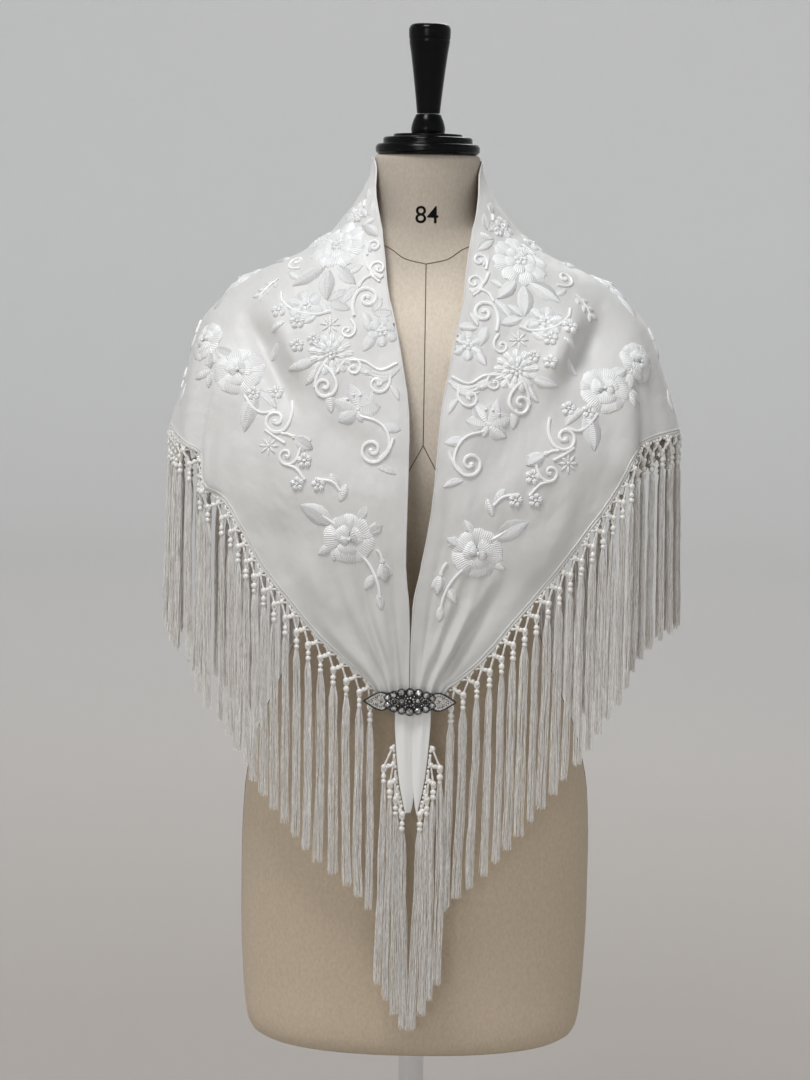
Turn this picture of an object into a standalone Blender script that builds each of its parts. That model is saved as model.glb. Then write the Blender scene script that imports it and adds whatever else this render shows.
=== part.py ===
"""Embroidered triangular shawl with a knotted fringe, worn on a limbless dress form on its stand.

Metres, +Z up. The form faces -Y, and the origin is the middle of the base plate's underside.
"left" is -X, the left of somebody who looks at the front. Angles run round the body from the
front centre (0) over the side (90) to the back centre (180), and are mirrored on the left.
"""

import math
from collections import namedtuple

import bmesh
import bpy
import numpy as np
from mathutils import Vector
from mathutils.bvhtree import BVHTree

# Heights above the floor
TRUNK_BOTTOM = 0.420
NECK_TOP = 1.271
BUST_HEIGHT = 0.985
CLOTH_END = 0.776

# Stand
BASE_RADIUS = 0.190
BASE_THICKNESS = 0.008
BASE_EDGE = 0.003
POLE_RADIUS = 0.0125
TURN_STEPS = 28
SLIM_STEPS = 20

# Space between two pieces, and the step over which slopes are measured
GAP = 0.0004
MEASURE_STEP = 0.0005

# Cloth and fringe; the strip and the net's cords have a share of the strands' thickness
CLOTH_WALL = 0.0014
CLEARANCE = 0.0020
CLEARANCE_BLEND = 0.0005
COLUMNS_A_SIDE = 50
ROWS = 12
FRINGE_LENGTH = 0.208
STRIP_GAP = 0.0007
STRIP_WIDTH = 0.0020
LEG_WIDTH = 0.0018
KNOT_DROP = 0.022
KNOT_LENGTH = 0.005
KNOT_HALF_WIDTH = 0.0022
STRAND_TOP_HALF_WIDTH = 0.0024
STRAND_HALF_WIDTH = 0.0027
FRINGE_THICKNESS = 0.0028
STRIP_SHARE = 0.55
SIDE_SPLAY = 0.03

ProfilePoint = namedtuple("ProfilePoint", "radius rise")

# Turned outlines, from the rim below to the rim above, each point's height above the piece's foot
HUB_PROFILE = (
    ProfilePoint(0.0340, 0.0000),
    ProfilePoint(0.0320, 0.0060),
    ProfilePoint(0.0197, 0.0140),
    ProfilePoint(0.0184, 0.0450),
)
SOCKET_PROFILE = (
    ProfilePoint(0.0320, 0.0000),
    ProfilePoint(0.0340, 0.0020),
    ProfilePoint(0.0340, 0.0080),
)
CAP_PROFILE = (
    ProfilePoint(0.0465, 0.0000),
    ProfilePoint(0.0490, 0.0025),
    ProfilePoint(0.0490, 0.0070),
    ProfilePoint(0.0470, 0.0095),
    ProfilePoint(0.0420, 0.0100),
    ProfilePoint(0.0420, 0.0145),
    ProfilePoint(0.0405, 0.0160),
    ProfilePoint(0.0325, 0.0165),
    ProfilePoint(0.0320, 0.0190),
)
FINIAL_PROFILE = (
    ProfilePoint(0.0155, 0.0000),
    ProfilePoint(0.0160, 0.0040),
    ProfilePoint(0.0145, 0.0110),
    ProfilePoint(0.0115, 0.0180),
    ProfilePoint(0.0108, 0.0190),
    ProfilePoint(0.0125, 0.0350),
    ProfilePoint(0.0170, 0.0720),
    ProfilePoint(0.0193, 0.0880),
    ProfilePoint(0.0196, 0.0950),
    ProfilePoint(0.0180, 0.0995),
    ProfilePoint(0.0130, 0.1015),
    ProfilePoint(0.0060, 0.1020),
)

# The shawl hangs a little towards -X in front: how far, and between which heights it sets in
SWAY = -0.0085
SWAY_TOP = 1.04
SWAY_END = 0.86

# Brooch that pins both ends together
BROOCH_X = -0.0080
BROOCH_Z = 0.7745
BROOCH_HALF_LENGTH = 0.0425
BROOCH_HALF_HEIGHT = 0.0115
BROOCH_PLATE = 0.0022
CLUSTER_HALF_LENGTH = 0.0255
CLUSTER_HALF_HEIGHT = 0.0128
CLUSTER_LOBES = 14
LOBE_DEPTH = 0.05
CLUSTER_THICKNESS = 0.0024
POINTEDNESS = 1.35
PLATE_BEVEL = 0.0004
STONE_FLATNESS = 0.6

Stone = namedtuple("Stone", "word across radius")
STONES = (
    Stone("left", -0.0145, 0.0030),
    Stone("centre", 0.0, 0.0038),
    Stone("right", 0.0145, 0.0030),
)

Section = namedtuple("Section", "height half_width front back squareness")

# Horizontal sections of the padded trunk, from the rounded bottom edge to the top of the neck
FORM_SECTIONS = (
    Section(0.420, 0.1520, 0.0840, 0.0860, 2.3),
    Section(0.425, 0.1590, 0.0900, 0.0925, 2.3),
    Section(0.438, 0.1635, 0.0940, 0.0970, 2.3),
    Section(0.480, 0.1670, 0.0960, 0.1010, 2.2),
    Section(0.540, 0.1690, 0.0980, 0.1090, 2.2),
    Section(0.600, 0.1690, 0.1000, 0.1140, 2.2),
    Section(0.660, 0.1665, 0.1015, 0.1100, 2.2),
    Section(0.720, 0.1540, 0.0980, 0.0970, 2.2),
    Section(0.780, 0.1290, 0.0880, 0.0840, 2.2),
    Section(0.830, 0.1150, 0.0800, 0.0790, 2.2),
    Section(0.875, 0.1170, 0.0840, 0.0820, 2.2),
    Section(0.930, 0.1270, 0.0960, 0.0920, 2.3),
    Section(0.985, 0.1380, 0.1060, 0.1020, 2.4),
    Section(1.040, 0.1500, 0.1020, 0.1085, 2.5),
    Section(1.080, 0.1690, 0.0930, 0.1080, 2.5),
    Section(1.110, 0.1800, 0.0830, 0.1020, 2.4),
    Section(1.132, 0.1800, 0.0720, 0.0930, 2.3),
    Section(1.146, 0.1740, 0.0650, 0.0880, 2.2),
    Section(1.158, 0.1575, 0.0580, 0.0830, 2.2),
    Section(1.168, 0.1365, 0.0530, 0.0785, 2.1),
    Section(1.178, 0.1125, 0.0490, 0.0735, 2.1),
    Section(1.187, 0.0860, 0.0455, 0.0670, 2.0),
    Section(1.195, 0.0660, 0.0430, 0.0640, 2.0),
    Section(1.206, 0.0490, 0.0415, 0.0590, 2.0),
    Section(1.222, 0.0468, 0.0415, 0.0560, 2.0),
    Section(1.246, 0.0485, 0.0430, 0.0530, 2.0),
    Section(1.271, 0.0500, 0.0450, 0.0510, 2.0),
)
FORM_RINGS = 29
FORM_AROUND = 30
BUST_ANGLE = 37.0
BUST_RISE = 0.024
BUST_WIDTH = 20.0
BUST_SPREAD = 0.050

# Horizontal sections of the space that the draped cloth encloses
DRAPE_SECTIONS = (
    Section(0.730, 0.1900, 0.1220, 0.1300, 2.4),
    Section(0.770, 0.1960, 0.1240, 0.1290, 2.4),
    Section(0.800, 0.2050, 0.1270, 0.1280, 2.4),
    Section(0.840, 0.2180, 0.1310, 0.1265, 2.4),
    Section(0.880, 0.2290, 0.1345, 0.1250, 2.4),
    Section(0.920, 0.2370, 0.1365, 0.1235, 2.4),
    Section(0.960, 0.2420, 0.1370, 0.1225, 2.4),
    Section(1.000, 0.2430, 0.1335, 0.1210, 2.4),
    Section(1.020, 0.2400, 0.1290, 0.1195, 2.4),
    Section(1.040, 0.2345, 0.1235, 0.1175, 2.4),
    Section(1.060, 0.2285, 0.1165, 0.1150, 2.4),
    Section(1.080, 0.2225, 0.1090, 0.1120, 2.4),
    Section(1.100, 0.2160, 0.1010, 0.1080, 2.35),
    Section(1.120, 0.2065, 0.0930, 0.1030, 2.3),
    Section(1.130, 0.1980, 0.0885, 0.1000, 2.25),
    Section(1.140, 0.1870, 0.0840, 0.0965, 2.2),
    Section(1.150, 0.1730, 0.0790, 0.0930, 2.2),
    Section(1.160, 0.1560, 0.0745, 0.0900, 2.2),
    Section(1.170, 0.1360, 0.0705, 0.0865, 2.2),
    Section(1.180, 0.1165, 0.0670, 0.0830, 2.1),
    Section(1.192, 0.0985, 0.0630, 0.0790, 2.1),
    Section(1.200, 0.0880, 0.0605, 0.0770, 2.0),
    Section(1.212, 0.0785, 0.0580, 0.0730, 2.0),
    Section(1.225, 0.0680, 0.0550, 0.0690, 2.0),
    Section(1.240, 0.0585, 0.0520, 0.0640, 2.0),
    Section(1.255, 0.0530, 0.0490, 0.0590, 2.0),
    Section(1.264, 0.0518, 0.0470, 0.0560, 2.0),
)

Station = namedtuple("Station", "edge_angle edge_height hem_angle hem_height")

# Rulings of the cloth, from the back centre to the side and on to the brooch: where each leaves
# the neck edge (the triangle's long side) and where it meets the fringed hem
BACK_STATIONS = (
    Station(180.0, 1.258, 180.0, 0.730),
    Station(158.0, 1.259, 157.0, 0.782),
    Station(136.0, 1.261, 137.0, 0.848),
    Station(118.0, 1.264, 120.0, 0.920),
    Station(104.0, 1.266, 105.0, 0.985),
)
LEFT_STATIONS = (
    Station(90.0, 1.267, 93.5, 1.011),
    Station(76.0, 1.266, 87.0, 1.012),
    Station(61.5, 1.243, 79.5, 1.009),
    Station(44.0, 1.215, 72.0, 1.004),
    Station(32.0, 1.183, 66.8, 0.994),
    Station(24.0, 1.148, 64.8, 0.970),
    Station(17.0, 1.120, 60.0, 0.953),
    Station(10.5, 1.080, 55.3, 0.929),
    Station(6.5, 1.040, 49.5, 0.893),
    Station(5.2, 0.998, 43.0, 0.865),
    Station(4.0, 0.948, 36.0, 0.838),
    Station(2.9, 0.900, 29.0, 0.818),
    Station(1.0, 0.862, 22.5, 0.803),
    Station(0.5, 0.825, 17.5, 0.793),
    Station(0.5, 0.797, 14.6, 0.7853),
    Station(0.5, CLOTH_END, 12.8, CLOTH_END),
)
RIGHT_STATIONS = (
    Station(90.0, 1.265, 93.5, 1.013),
    Station(76.0, 1.259, 87.0, 1.016),
    Station(60.0, 1.241, 79.5, 1.017),
    Station(42.0, 1.208, 72.0, 1.015),
    Station(31.0, 1.178, 66.8, 1.008),
    Station(23.0, 1.141, 63.2, 0.995),
    Station(16.0, 1.106, 60.5, 0.971),
    Station(11.0, 1.071, 56.0, 0.942),
    Station(7.2, 1.035, 50.5, 0.912),
    Station(6.0, 0.995, 44.5, 0.880),
    Station(5.4, 0.950, 38.0, 0.852),
    Station(3.3, 0.900, 31.5, 0.826),
    Station(1.0, 0.862, 25.0, 0.8055),
    Station(0.5, 0.825, 19.5, 0.7935),
    Station(0.5, 0.797, 15.5, 0.7865),
    Station(0.5, CLOTH_END, 13.5, CLOTH_END),
)

Fold = namedtuple("Fold", "angle height end_angle end_height width end_width rise held")

# The largest folds, each a ridge (or a trough, where rise is negative) from its first point to
# its end; a held one keeps its height at the end, as at the brooch or at the hem, and the others
# die away at both ends
FOLDS = (
    Fold(-79.0, 1.152, -38.0, 1.022, 0.013, 0.019, -0.0080, 0),
    Fold(-46.0, 1.044, -5.0, 0.968, 0.015, 0.022, -0.0060, 0),
    Fold(-69.0, 1.152, -33.0, 1.040, 0.013, 0.019, 0.0070, 0),
    Fold(-74.0, 1.110, -65.6, 0.972, 0.014, 0.014, 0.0075, 1),
    Fold(-64.0, 1.060, -58.5, 0.950, 0.014, 0.014, -0.0030, 1),
    Fold(-88.0, 1.090, -82.0, 1.009, 0.015, 0.016, -0.0045, 1),
    Fold(-38.0, 0.868, -11.5, 0.783, 0.010, 0.004, 0.0042, 1),
    Fold(-25.0, 0.890, -7.8, 0.783, 0.009, 0.003, 0.0040, 1),
    Fold(-15.5, 0.872, -4.8, 0.783, 0.007, 0.003, 0.0036, 1),
    Fold(-20.0, 0.880, -6.4, 0.783, 0.006, 0.003, -0.0025, 1),
    Fold(-46.0, 0.930, -26.0, 0.835, 0.014, 0.012, 0.0045, 0),
    Fold(-52.0, 0.960, -34.0, 0.850, 0.014, 0.012, -0.0035, 0),
    Fold(79.0, 1.150, 50.0, 1.050, 0.013, 0.018, -0.0080, 0),
    Fold(56.0, 1.074, 12.0, 0.958, 0.015, 0.024, -0.0065, 0),
    Fold(67.0, 1.150, 38.0, 1.044, 0.013, 0.019, 0.0070, 0),
    Fold(69.0, 1.100, 62.6, 0.990, 0.014, 0.014, 0.0060, 1),
    Fold(78.0, 1.090, 72.5, 1.013, 0.014, 0.015, -0.0050, 1),
    Fold(89.0, 1.090, 86.0, 1.016, 0.015, 0.016, 0.0035, 1),
    Fold(31.0, 0.905, 8.6, 0.783, 0.011, 0.004, 0.0062, 1),
    Fold(38.0, 0.915, 12.6, 0.785, 0.010, 0.005, -0.0055, 1),
    Fold(14.0, 0.850, 3.2, 0.783, 0.007, 0.003, 0.0036, 1),
    Fold(20.0, 0.880, 5.6, 0.783, 0.007, 0.003, -0.0032, 1),
    Fold(50.0, 0.960, 30.0, 0.850, 0.014, 0.012, 0.0035, 0),
    Fold(112.0, 1.110, 114.0, 0.940, 0.018, 0.024, 0.0060, 1),
    Fold(130.0, 1.090, 131.0, 0.860, 0.020, 0.026, -0.0055, 1),
    Fold(146.0, 1.100, 147.0, 0.810, 0.020, 0.028, 0.0060, 1),
    Fold(165.0, 1.070, 163.0, 0.760, 0.020, 0.026, -0.0050, 1),
    Fold(-112.0, 1.110, -114.0, 0.940, 0.018, 0.024, 0.0055, 1),
    Fold(-128.0, 1.090, -130.0, 0.860, 0.020, 0.026, -0.0060, 1),
    Fold(-149.0, 1.100, -147.0, 0.810, 0.020, 0.028, 0.0055, 1),
    Fold(-166.0, 1.070, -165.0, 0.760, 0.020, 0.026, -0.0045, 1),
    Fold(180.0, 1.110, 180.0, 0.745, 0.022, 0.030, 0.0050, 1),
)

# Length of one radian in a fold's run, the share of a fold over which it rises, and how far
# round the front (in radians) the brooch presses the folds flat and pleats the cloth
FOLD_REACH = 0.16
FOLD_RISING = 0.45
PRESSED_ANGLE = 1.0
PRESSED_FROM = 0.820
PRESSED_TO = 0.792
PRESSED_BY = 0.6
PLEAT_COUNT = 3.5
PLEAT_DEPTH = 0.0014
PLEAT_START = 0.850

TailRow = namedtuple("TailRow", "height inner outer depth")

# Half of the tail below the brooch: heights, its edges' distances from the tail's middle, and
# how far in front of the body's axis it hangs
TAIL_ROWS = (
    TailRow(0.7752, 0.0006, 0.0165, 0.1232),
    TailRow(0.7550, 0.0006, 0.0164, 0.1240),
    TailRow(0.7330, 0.0006, 0.0152, 0.1244),
    TailRow(0.7180, 0.0007, 0.0139, 0.1244),
    TailRow(0.7030, 0.0010, 0.0122, 0.1242),
    TailRow(0.6885, 0.0018, 0.0099, 0.1238),
    TailRow(0.6740, 0.0034, 0.0068, 0.1232),
)
TAIL_X = -0.0050
TAIL_ACROSS = 5
TAIL_WALL = 0.0026
TAIL_BULGE = 0.14
TAIL_FRINGE_FROM = 2
TAIL_FRINGE_LEAN = -0.25
TAIL_REACHES = (0.0079, 0.0032, -0.0006, -0.0043)
TAIL_FRINGE_LENGTH = 0.222


def clear_scene():
    """Removes whatever the file holds."""
    for thing in list(bpy.data.objects):
        bpy.data.objects.remove(thing)


def material(name, colour, roughness, metallic=0.0):
    """A plain Principled finish."""
    made = bpy.data.materials.new(name)
    made.use_nodes = True
    shader = made.node_tree.nodes["Principled BSDF"]
    shader.inputs["Base Color"].default_value = (*colour, 1.0)
    shader.inputs["Roughness"].default_value = roughness
    shader.inputs["Metallic"].default_value = metallic
    return made


def finished(name, mesh_data, finish, smooth=True):
    """Turns a bmesh into a named object with its material."""
    mesh = bpy.data.meshes.new(name)
    mesh_data.to_mesh(mesh)
    mesh_data.free()
    mesh.materials.append(finish)
    if smooth:
        mesh.shade_smooth()
        mesh.set_sharp_from_angle(angle=math.radians(40))
    made = bpy.data.objects.new(name, mesh)
    bpy.context.scene.collection.objects.link(made)
    return made


def smooth_through(xs, ys, x):
    """Monotone cubic through the points (xs rising), held level beyond both ends."""
    xs = np.asarray(xs, float)
    ys = np.asarray(ys, float)
    x = np.clip(np.asarray(x, float), xs[0], xs[-1])
    steps = np.diff(xs)
    slopes = np.diff(ys) / steps
    tangents = np.zeros_like(ys)
    same_way = slopes[:-1] * slopes[1:] > 0
    before = 2 * steps[1:] + steps[:-1]
    after = steps[1:] + 2 * steps[:-1]
    safe = np.where(same_way, slopes[:-1], 1.0), np.where(same_way, slopes[1:], 1.0)
    tangents[1:-1] = np.where(
        same_way, (before + after) / (before / safe[0] + after / safe[1]), 0.0
    )
    tangents[0] = slopes[0]
    tangents[-1] = slopes[-1]
    piece = np.clip(np.searchsorted(xs, x, side="right") - 1, 0, len(xs) - 2)
    width = steps[piece]
    t = (x - xs[piece]) / width
    return (
        (2 * t**3 - 3 * t**2 + 1) * ys[piece]
        + (t**3 - 2 * t**2 + t) * width * tangents[piece]
        + (3 * t**2 - 2 * t**3) * ys[piece + 1]
        + (t**3 - t**2) * width * tangents[piece + 1]
    )


def eased(start, end, value):
    """0 at start, 1 at end, with a smooth step between."""
    t = np.clip((value - start) / (end - start), 0.0, 1.0)
    return t * t * (3 - 2 * t)


def section_radius(sections, angle, height):
    """Distance from the axis of a superellipse that is read from the table at that height."""
    heights = [row.height for row in sections]
    read = {
        column: smooth_through(heights, [getattr(row, column) for row in sections], height)
        for column in ("half_width", "front", "back", "squareness")
    }
    across = np.abs(np.sin(angle))
    along = np.cos(angle)
    depth = np.where(along > 0, read["front"], read["back"])
    power = read["squareness"]
    return (
        (across / read["half_width"]) ** power + (np.abs(along) / depth) ** power
    ) ** (-1 / power)


def form_radius(angle, height):
    """The trunk's surface: its section with the bust worked on."""
    degrees = np.abs(np.degrees(angle))
    bust = np.exp(
        -(((degrees - BUST_ANGLE) / BUST_WIDTH) ** 2) - ((height - BUST_HEIGHT) / BUST_SPREAD) ** 2
    )
    return section_radius(FORM_SECTIONS, angle, height) + BUST_RISE * bust


def placed(radius, angle, height):
    """Points round the axis, one row each."""
    return np.stack([radius * np.sin(angle), -radius * np.cos(angle), height + 0 * angle], -1)


def fold_rise(angle, height):
    """How far the folds lift the cloth at these points."""
    rise = np.zeros(np.broadcast(angle, height).shape)
    for fold in FOLDS:
        start = math.radians(fold.angle) * FOLD_REACH, fold.height
        run = math.radians(fold.end_angle - fold.angle) * FOLD_REACH, fold.end_height - fold.height
        away = angle * FOLD_REACH - start[0]
        if abs(fold.angle) == 180.0:
            away = (np.abs(angle) - math.pi) * FOLD_REACH
        drop = height - start[1]
        length = math.hypot(*run)
        along = np.clip((away * run[0] + drop * run[1]) / length**2, 0.0, 1.0)
        off = np.hypot(away - along * run[0], drop - along * run[1])
        width = fold.width + (fold.end_width - fold.width) * along
        fade = eased(0.0, FOLD_RISING, along)
        if not fold.held:
            fade = fade * eased(1.0, 1.0 - FOLD_RISING, along)
        rise = rise + fold.rise * fade * np.exp(-((off / width) ** 2))
    in_front = np.abs(angle) < PRESSED_ANGLE
    return rise * (1 - PRESSED_BY * in_front * eased(PRESSED_FROM, PRESSED_TO, height))


def clear_of_form(points):
    """Moves points out from the axis where they would come too near the trunk."""
    radius = np.hypot(points[..., 0], points[..., 1])
    angle = np.arctan2(points[..., 0], -points[..., 1])
    height = points[..., 2]
    step = MEASURE_STEP
    slope = (form_radius(angle, height + step) - form_radius(angle, height - step)) / (2 * step)
    nearest = form_radius(angle, height) + CLEARANCE * np.sqrt(1 + slope**2)
    apart = np.abs(radius - nearest) / CLEARANCE_BLEND
    wanted = np.maximum(radius, nearest) + CLEARANCE_BLEND * np.log1p(np.exp(-apart))
    points[..., :2] *= (wanted / radius)[..., None]
    return points


def drape_surface(angle, height):
    """The cloth's outer face without its folds."""
    points = placed(section_radius(DRAPE_SECTIONS, angle, height), angle, height)
    points[..., 0] += SWAY * eased(SWAY_TOP, SWAY_END, height) * eased(math.pi, 0.0, np.abs(angle))
    return points


def drape_points(angle, height, extra=0.0):
    """The cloth's outer face with its folds, and its outward normals."""
    step = MEASURE_STEP
    around = drape_surface(angle + step, height) - drape_surface(angle - step, height)
    upward = drape_surface(angle, height + step) - drape_surface(angle, height - step)
    normals = np.cross(around, upward)
    normals /= np.linalg.norm(normals, axis=-1, keepdims=True)
    lift = fold_rise(angle, height) + extra
    return clear_of_form(drape_surface(angle, height) + normals * lift[..., None]), normals


def station_at(stations, position):
    """Edge and hem of the ruling at a position between stations: angles in radians, heights."""
    indices = np.arange(len(stations))
    columns = [
        smooth_through(indices, [getattr(row, column) for row in stations], position)
        for column in Station._fields
    ]
    return np.radians(columns[0]), columns[1], np.radians(columns[2]), columns[3]


def lengths_along(points):
    """Running length of a line of points, from 0."""
    steps = np.linalg.norm(np.diff(points, axis=0), axis=1)
    return np.concatenate([[0.0], np.cumsum(steps)])


def column_positions(stations):
    """Station positions that space the hem evenly, one more than the columns of a side."""
    fine = np.linspace(0, len(stations) - 1, 1200)
    _, _, angle, height = station_at(stations, fine)
    run = lengths_along(drape_surface(angle, height))
    return np.interp(np.linspace(0, run[-1], COLUMNS_A_SIDE + 1), run, fine)


def ruling(stations, position, side):
    """Angles and heights along one ruling, spaced evenly from the neck edge to the hem."""
    edge_angle, edge_height, hem_angle, hem_height = station_at(stations, position)
    share = np.linspace(0, 1, 160)
    angle = side * (edge_angle + (hem_angle - edge_angle) * share)
    height = edge_height + (hem_height - edge_height) * share
    run = lengths_along(drape_surface(angle, height))
    even = np.interp(np.linspace(0, run[-1], ROWS + 1), run, share)
    return np.interp(even, share, angle), np.interp(even, share, height)


def cloth_grid():
    """The cloth's outer points as [column, row], from the brooch's left round the back to its
    right, and the normals there."""
    left = BACK_STATIONS + LEFT_STATIONS
    right = BACK_STATIONS + RIGHT_STATIONS
    rulings = [ruling(left, p, -1) for p in column_positions(left)[::-1]]
    rulings += [ruling(right, p, 1) for p in column_positions(right)[1:]]
    angles = np.array([angle for angle, _ in rulings])
    heights = np.array([height for _, height in rulings])
    share = np.linspace(0, 1, ROWS + 1)[None, :]
    near = eased(PLEAT_START, CLOTH_END, heights) * (np.abs(angles) < PRESSED_ANGLE)
    pleats = PLEAT_DEPTH * near * np.cos(2 * math.pi * PLEAT_COUNT * share)
    return drape_points(angles, heights, pleats)


def cloth_mesh(points):
    """A grid of quads through the points, its faces pointing outwards."""
    columns, rows = points.shape[0] - 1, points.shape[1] - 1
    mesh_data = bmesh.new()
    bmesh.ops.create_grid(mesh_data, x_segments=columns, y_segments=rows, size=1.0)
    for vert in mesh_data.verts:
        column = round((vert.co.x + 1) / 2 * columns)
        row = round((vert.co.y + 1) / 2 * rows)
        vert.co = Vector(points[column, row])
    return mesh_data


def walled(thing, thickness, offset=-1.0, group=None, share=1.0):
    """Gives a sheet its thickness."""
    wall = thing.modifiers.new("Wall", "SOLIDIFY")
    wall.thickness = thickness
    wall.offset = offset
    if group:
        wall.vertex_group = group
        wall.thickness_vertex_group = share
    return thing


def turned(name, profile, foot, finish, steps=TURN_STEPS):
    """A piece turned from its profile, closed flat to the axis below and above."""
    mesh_data = bmesh.new()
    line = [(0.0, profile[0][1]), *profile, (0.0, profile[-1][1])]
    verts = [mesh_data.verts.new((radius, 0.0, foot + rise)) for radius, rise in line]
    edges = [mesh_data.edges.new(pair) for pair in zip(verts, verts[1:])]
    bmesh.ops.spin(
        mesh_data,
        geom=verts + edges,
        angle=2 * math.pi,
        steps=steps,
        axis=(0, 0, 1),
        cent=(0, 0, 0),
        use_merge=True,
    )
    bmesh.ops.remove_doubles(mesh_data, verts=mesh_data.verts, dist=1e-6)
    bmesh.ops.recalc_face_normals(mesh_data, faces=mesh_data.faces)
    return finished(name, mesh_data, finish)


def rounded_disc(radius, thickness, edge):
    """Profile of a disc with both rims rounded."""
    arc = [math.radians(degrees) for degrees in (-90, -45, 0)]
    lower = [(radius - edge + edge * math.cos(a), edge + edge * math.sin(a)) for a in arc]
    return lower + [(across, thickness - rise) for across, rise in lower[::-1]]


def make_form(canvas):
    """The padded trunk and neck: rings bridged from the bottom up, closed flat at both ends."""
    fine = np.linspace(TRUNK_BOTTOM, NECK_TOP, 600)
    side_run = lengths_along(placed(form_radius(np.full_like(fine, math.pi / 2), fine), 0.0, fine))
    heights = np.interp(np.linspace(0, side_run[-1], FORM_RINGS), side_run, fine)
    mesh_data = bmesh.new()
    angles = np.linspace(-math.pi, math.pi, FORM_AROUND, endpoint=False)
    loops = []
    for height in heights:
        ring = placed(form_radius(angles, height), angles, height)
        verts = [mesh_data.verts.new(point) for point in ring]
        pairs = zip(verts, verts[1:] + verts[:1])
        loops.append([mesh_data.edges.new(pair) for pair in pairs])
    for lower, upper in zip(loops, loops[1:]):
        bmesh.ops.bridge_loops(mesh_data, edges=lower + upper)
    bmesh.ops.edgeloop_fill(mesh_data, edges=loops[0])
    bmesh.ops.edgeloop_fill(mesh_data, edges=loops[-1])
    bmesh.ops.recalc_face_normals(mesh_data, faces=mesh_data.faces)
    return finished("form_trunk", mesh_data, canvas)


def make_stand(chrome, iron):
    """Round plate, hub, pole and the socket under the trunk."""
    turned("base_plate", rounded_disc(BASE_RADIUS, BASE_THICKNESS, BASE_EDGE), 0.0, iron)
    hub_foot = BASE_THICKNESS + GAP
    turned("base_hub", HUB_PROFILE, hub_foot, iron)
    socket_foot = TRUNK_BOTTOM - GAP - SOCKET_PROFILE[-1].rise
    turned("pole_socket", SOCKET_PROFILE, socket_foot, iron)
    pole_foot = hub_foot + HUB_PROFILE[-1].rise + GAP
    pole = [(POLE_RADIUS, 0.0), (POLE_RADIUS, socket_foot - GAP - pole_foot)]
    turned("pole", pole, pole_foot, chrome, steps=SLIM_STEPS)


def make_finial(lacquer):
    """The stepped cap on the neck and the turned handle above it."""
    cap_foot = NECK_TOP + GAP
    turned("neck_cap", CAP_PROFILE, cap_foot, lacquer)
    handle_foot = cap_foot + CAP_PROFILE[-1].rise + GAP
    turned("finial", FINIAL_PROFILE, handle_foot, lacquer, steps=SLIM_STEPS)


def fringe_mesh(edge, away, outward, reaches, length):
    """A strip along an edge with one hanging strand for each stretch of it.

    edge, away and outward have a row for each end of a stretch: a point of the cloth's edge, the
    direction that leaves the cloth there, and the way the body's surface faces.
    """
    mesh_data = bmesh.new()
    thin = mesh_data.verts.layers.deform.verify()
    down = Vector((0, 0, -1))

    def vert(point, share):
        made = mesh_data.verts.new(point)
        made[thin][0] = share
        return made

    def strip_pair(j, share, skip_top=0):
        point = Vector(edge[j]).lerp(Vector(edge[j + 1]), share)
        leave = Vector(away[j]).lerp(Vector(away[j + 1]), share).normalized()
        return [
            vert(point + leave * offset, STRIP_SHARE)
            for offset in (STRIP_GAP, STRIP_GAP + STRIP_WIDTH)[skip_top:]
        ]

    pair = strip_pair(0, 0.0)
    for j, reach in enumerate(reaches):
        stretch = (Vector(edge[j + 1]) - Vector(edge[j])).length
        legs = LEG_WIDTH / stretch
        lows = [*strip_pair(j, legs, 1), *strip_pair(j, 1 - legs, 1)]
        last = strip_pair(j, 1.0)
        mesh_data.faces.new((*pair, *lows, *last[::-1]))
        face = (Vector(outward[j]) + Vector(outward[j + 1])) / 2
        face = Vector((face.x, face.y, 0)).normalized()
        across = face.cross(down).normalized()
        if across.dot(last[1].co - pair[1].co) < 0:
            across = -across
        middle = (pair[1].co + last[1].co) / 2
        leave = (Vector(away[j]) + Vector(away[j + 1])) / 2
        leave = Vector((leave.x, leave.y, 0))
        lean = down + face * (SIDE_SPLAY * abs(face.x))
        knot = middle + leave * reach + lean * KNOT_DROP
        low = knot + lean * KNOT_LENGTH
        end = knot + lean * (length - KNOT_DROP)
        half = across * KNOT_HALF_WIDTH
        knot_top = [vert(place, STRIP_SHARE) for place in (knot - half, knot, knot + half)]
        half = across * STRAND_TOP_HALF_WIDTH
        root = [vert(place, 1.0) for place in (low - half, low + half)]
        half = across * STRAND_HALF_WIDTH
        tip = [vert(place, 1.0) for place in (end - half, end + half)]
        mesh_data.faces.new((pair[1], knot_top[0], knot_top[1], lows[0]))
        mesh_data.faces.new((lows[1], knot_top[1], knot_top[2], last[1]))
        mesh_data.faces.new((knot_top[0], root[0], root[1], knot_top[2], knot_top[1]))
        mesh_data.faces.new((root[0], tip[0], tip[1], root[1]))
        pair = last
    return mesh_data


def make_fringe(name, edge, away, outward, finish, reaches=None, length=FRINGE_LENGTH):
    """A fringe node: its flat net with the thickness of strands and of the thinner net cords."""
    reaches = reaches or [0.0] * (len(edge) - 1)
    mesh_data = fringe_mesh(edge, away, outward, reaches, length)
    made = finished(name, mesh_data, finish, smooth=False)
    made.vertex_groups.new(name="thickness")
    return walled(made, FRINGE_THICKNESS, offset=0.0, group="thickness", share=0.0)


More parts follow.
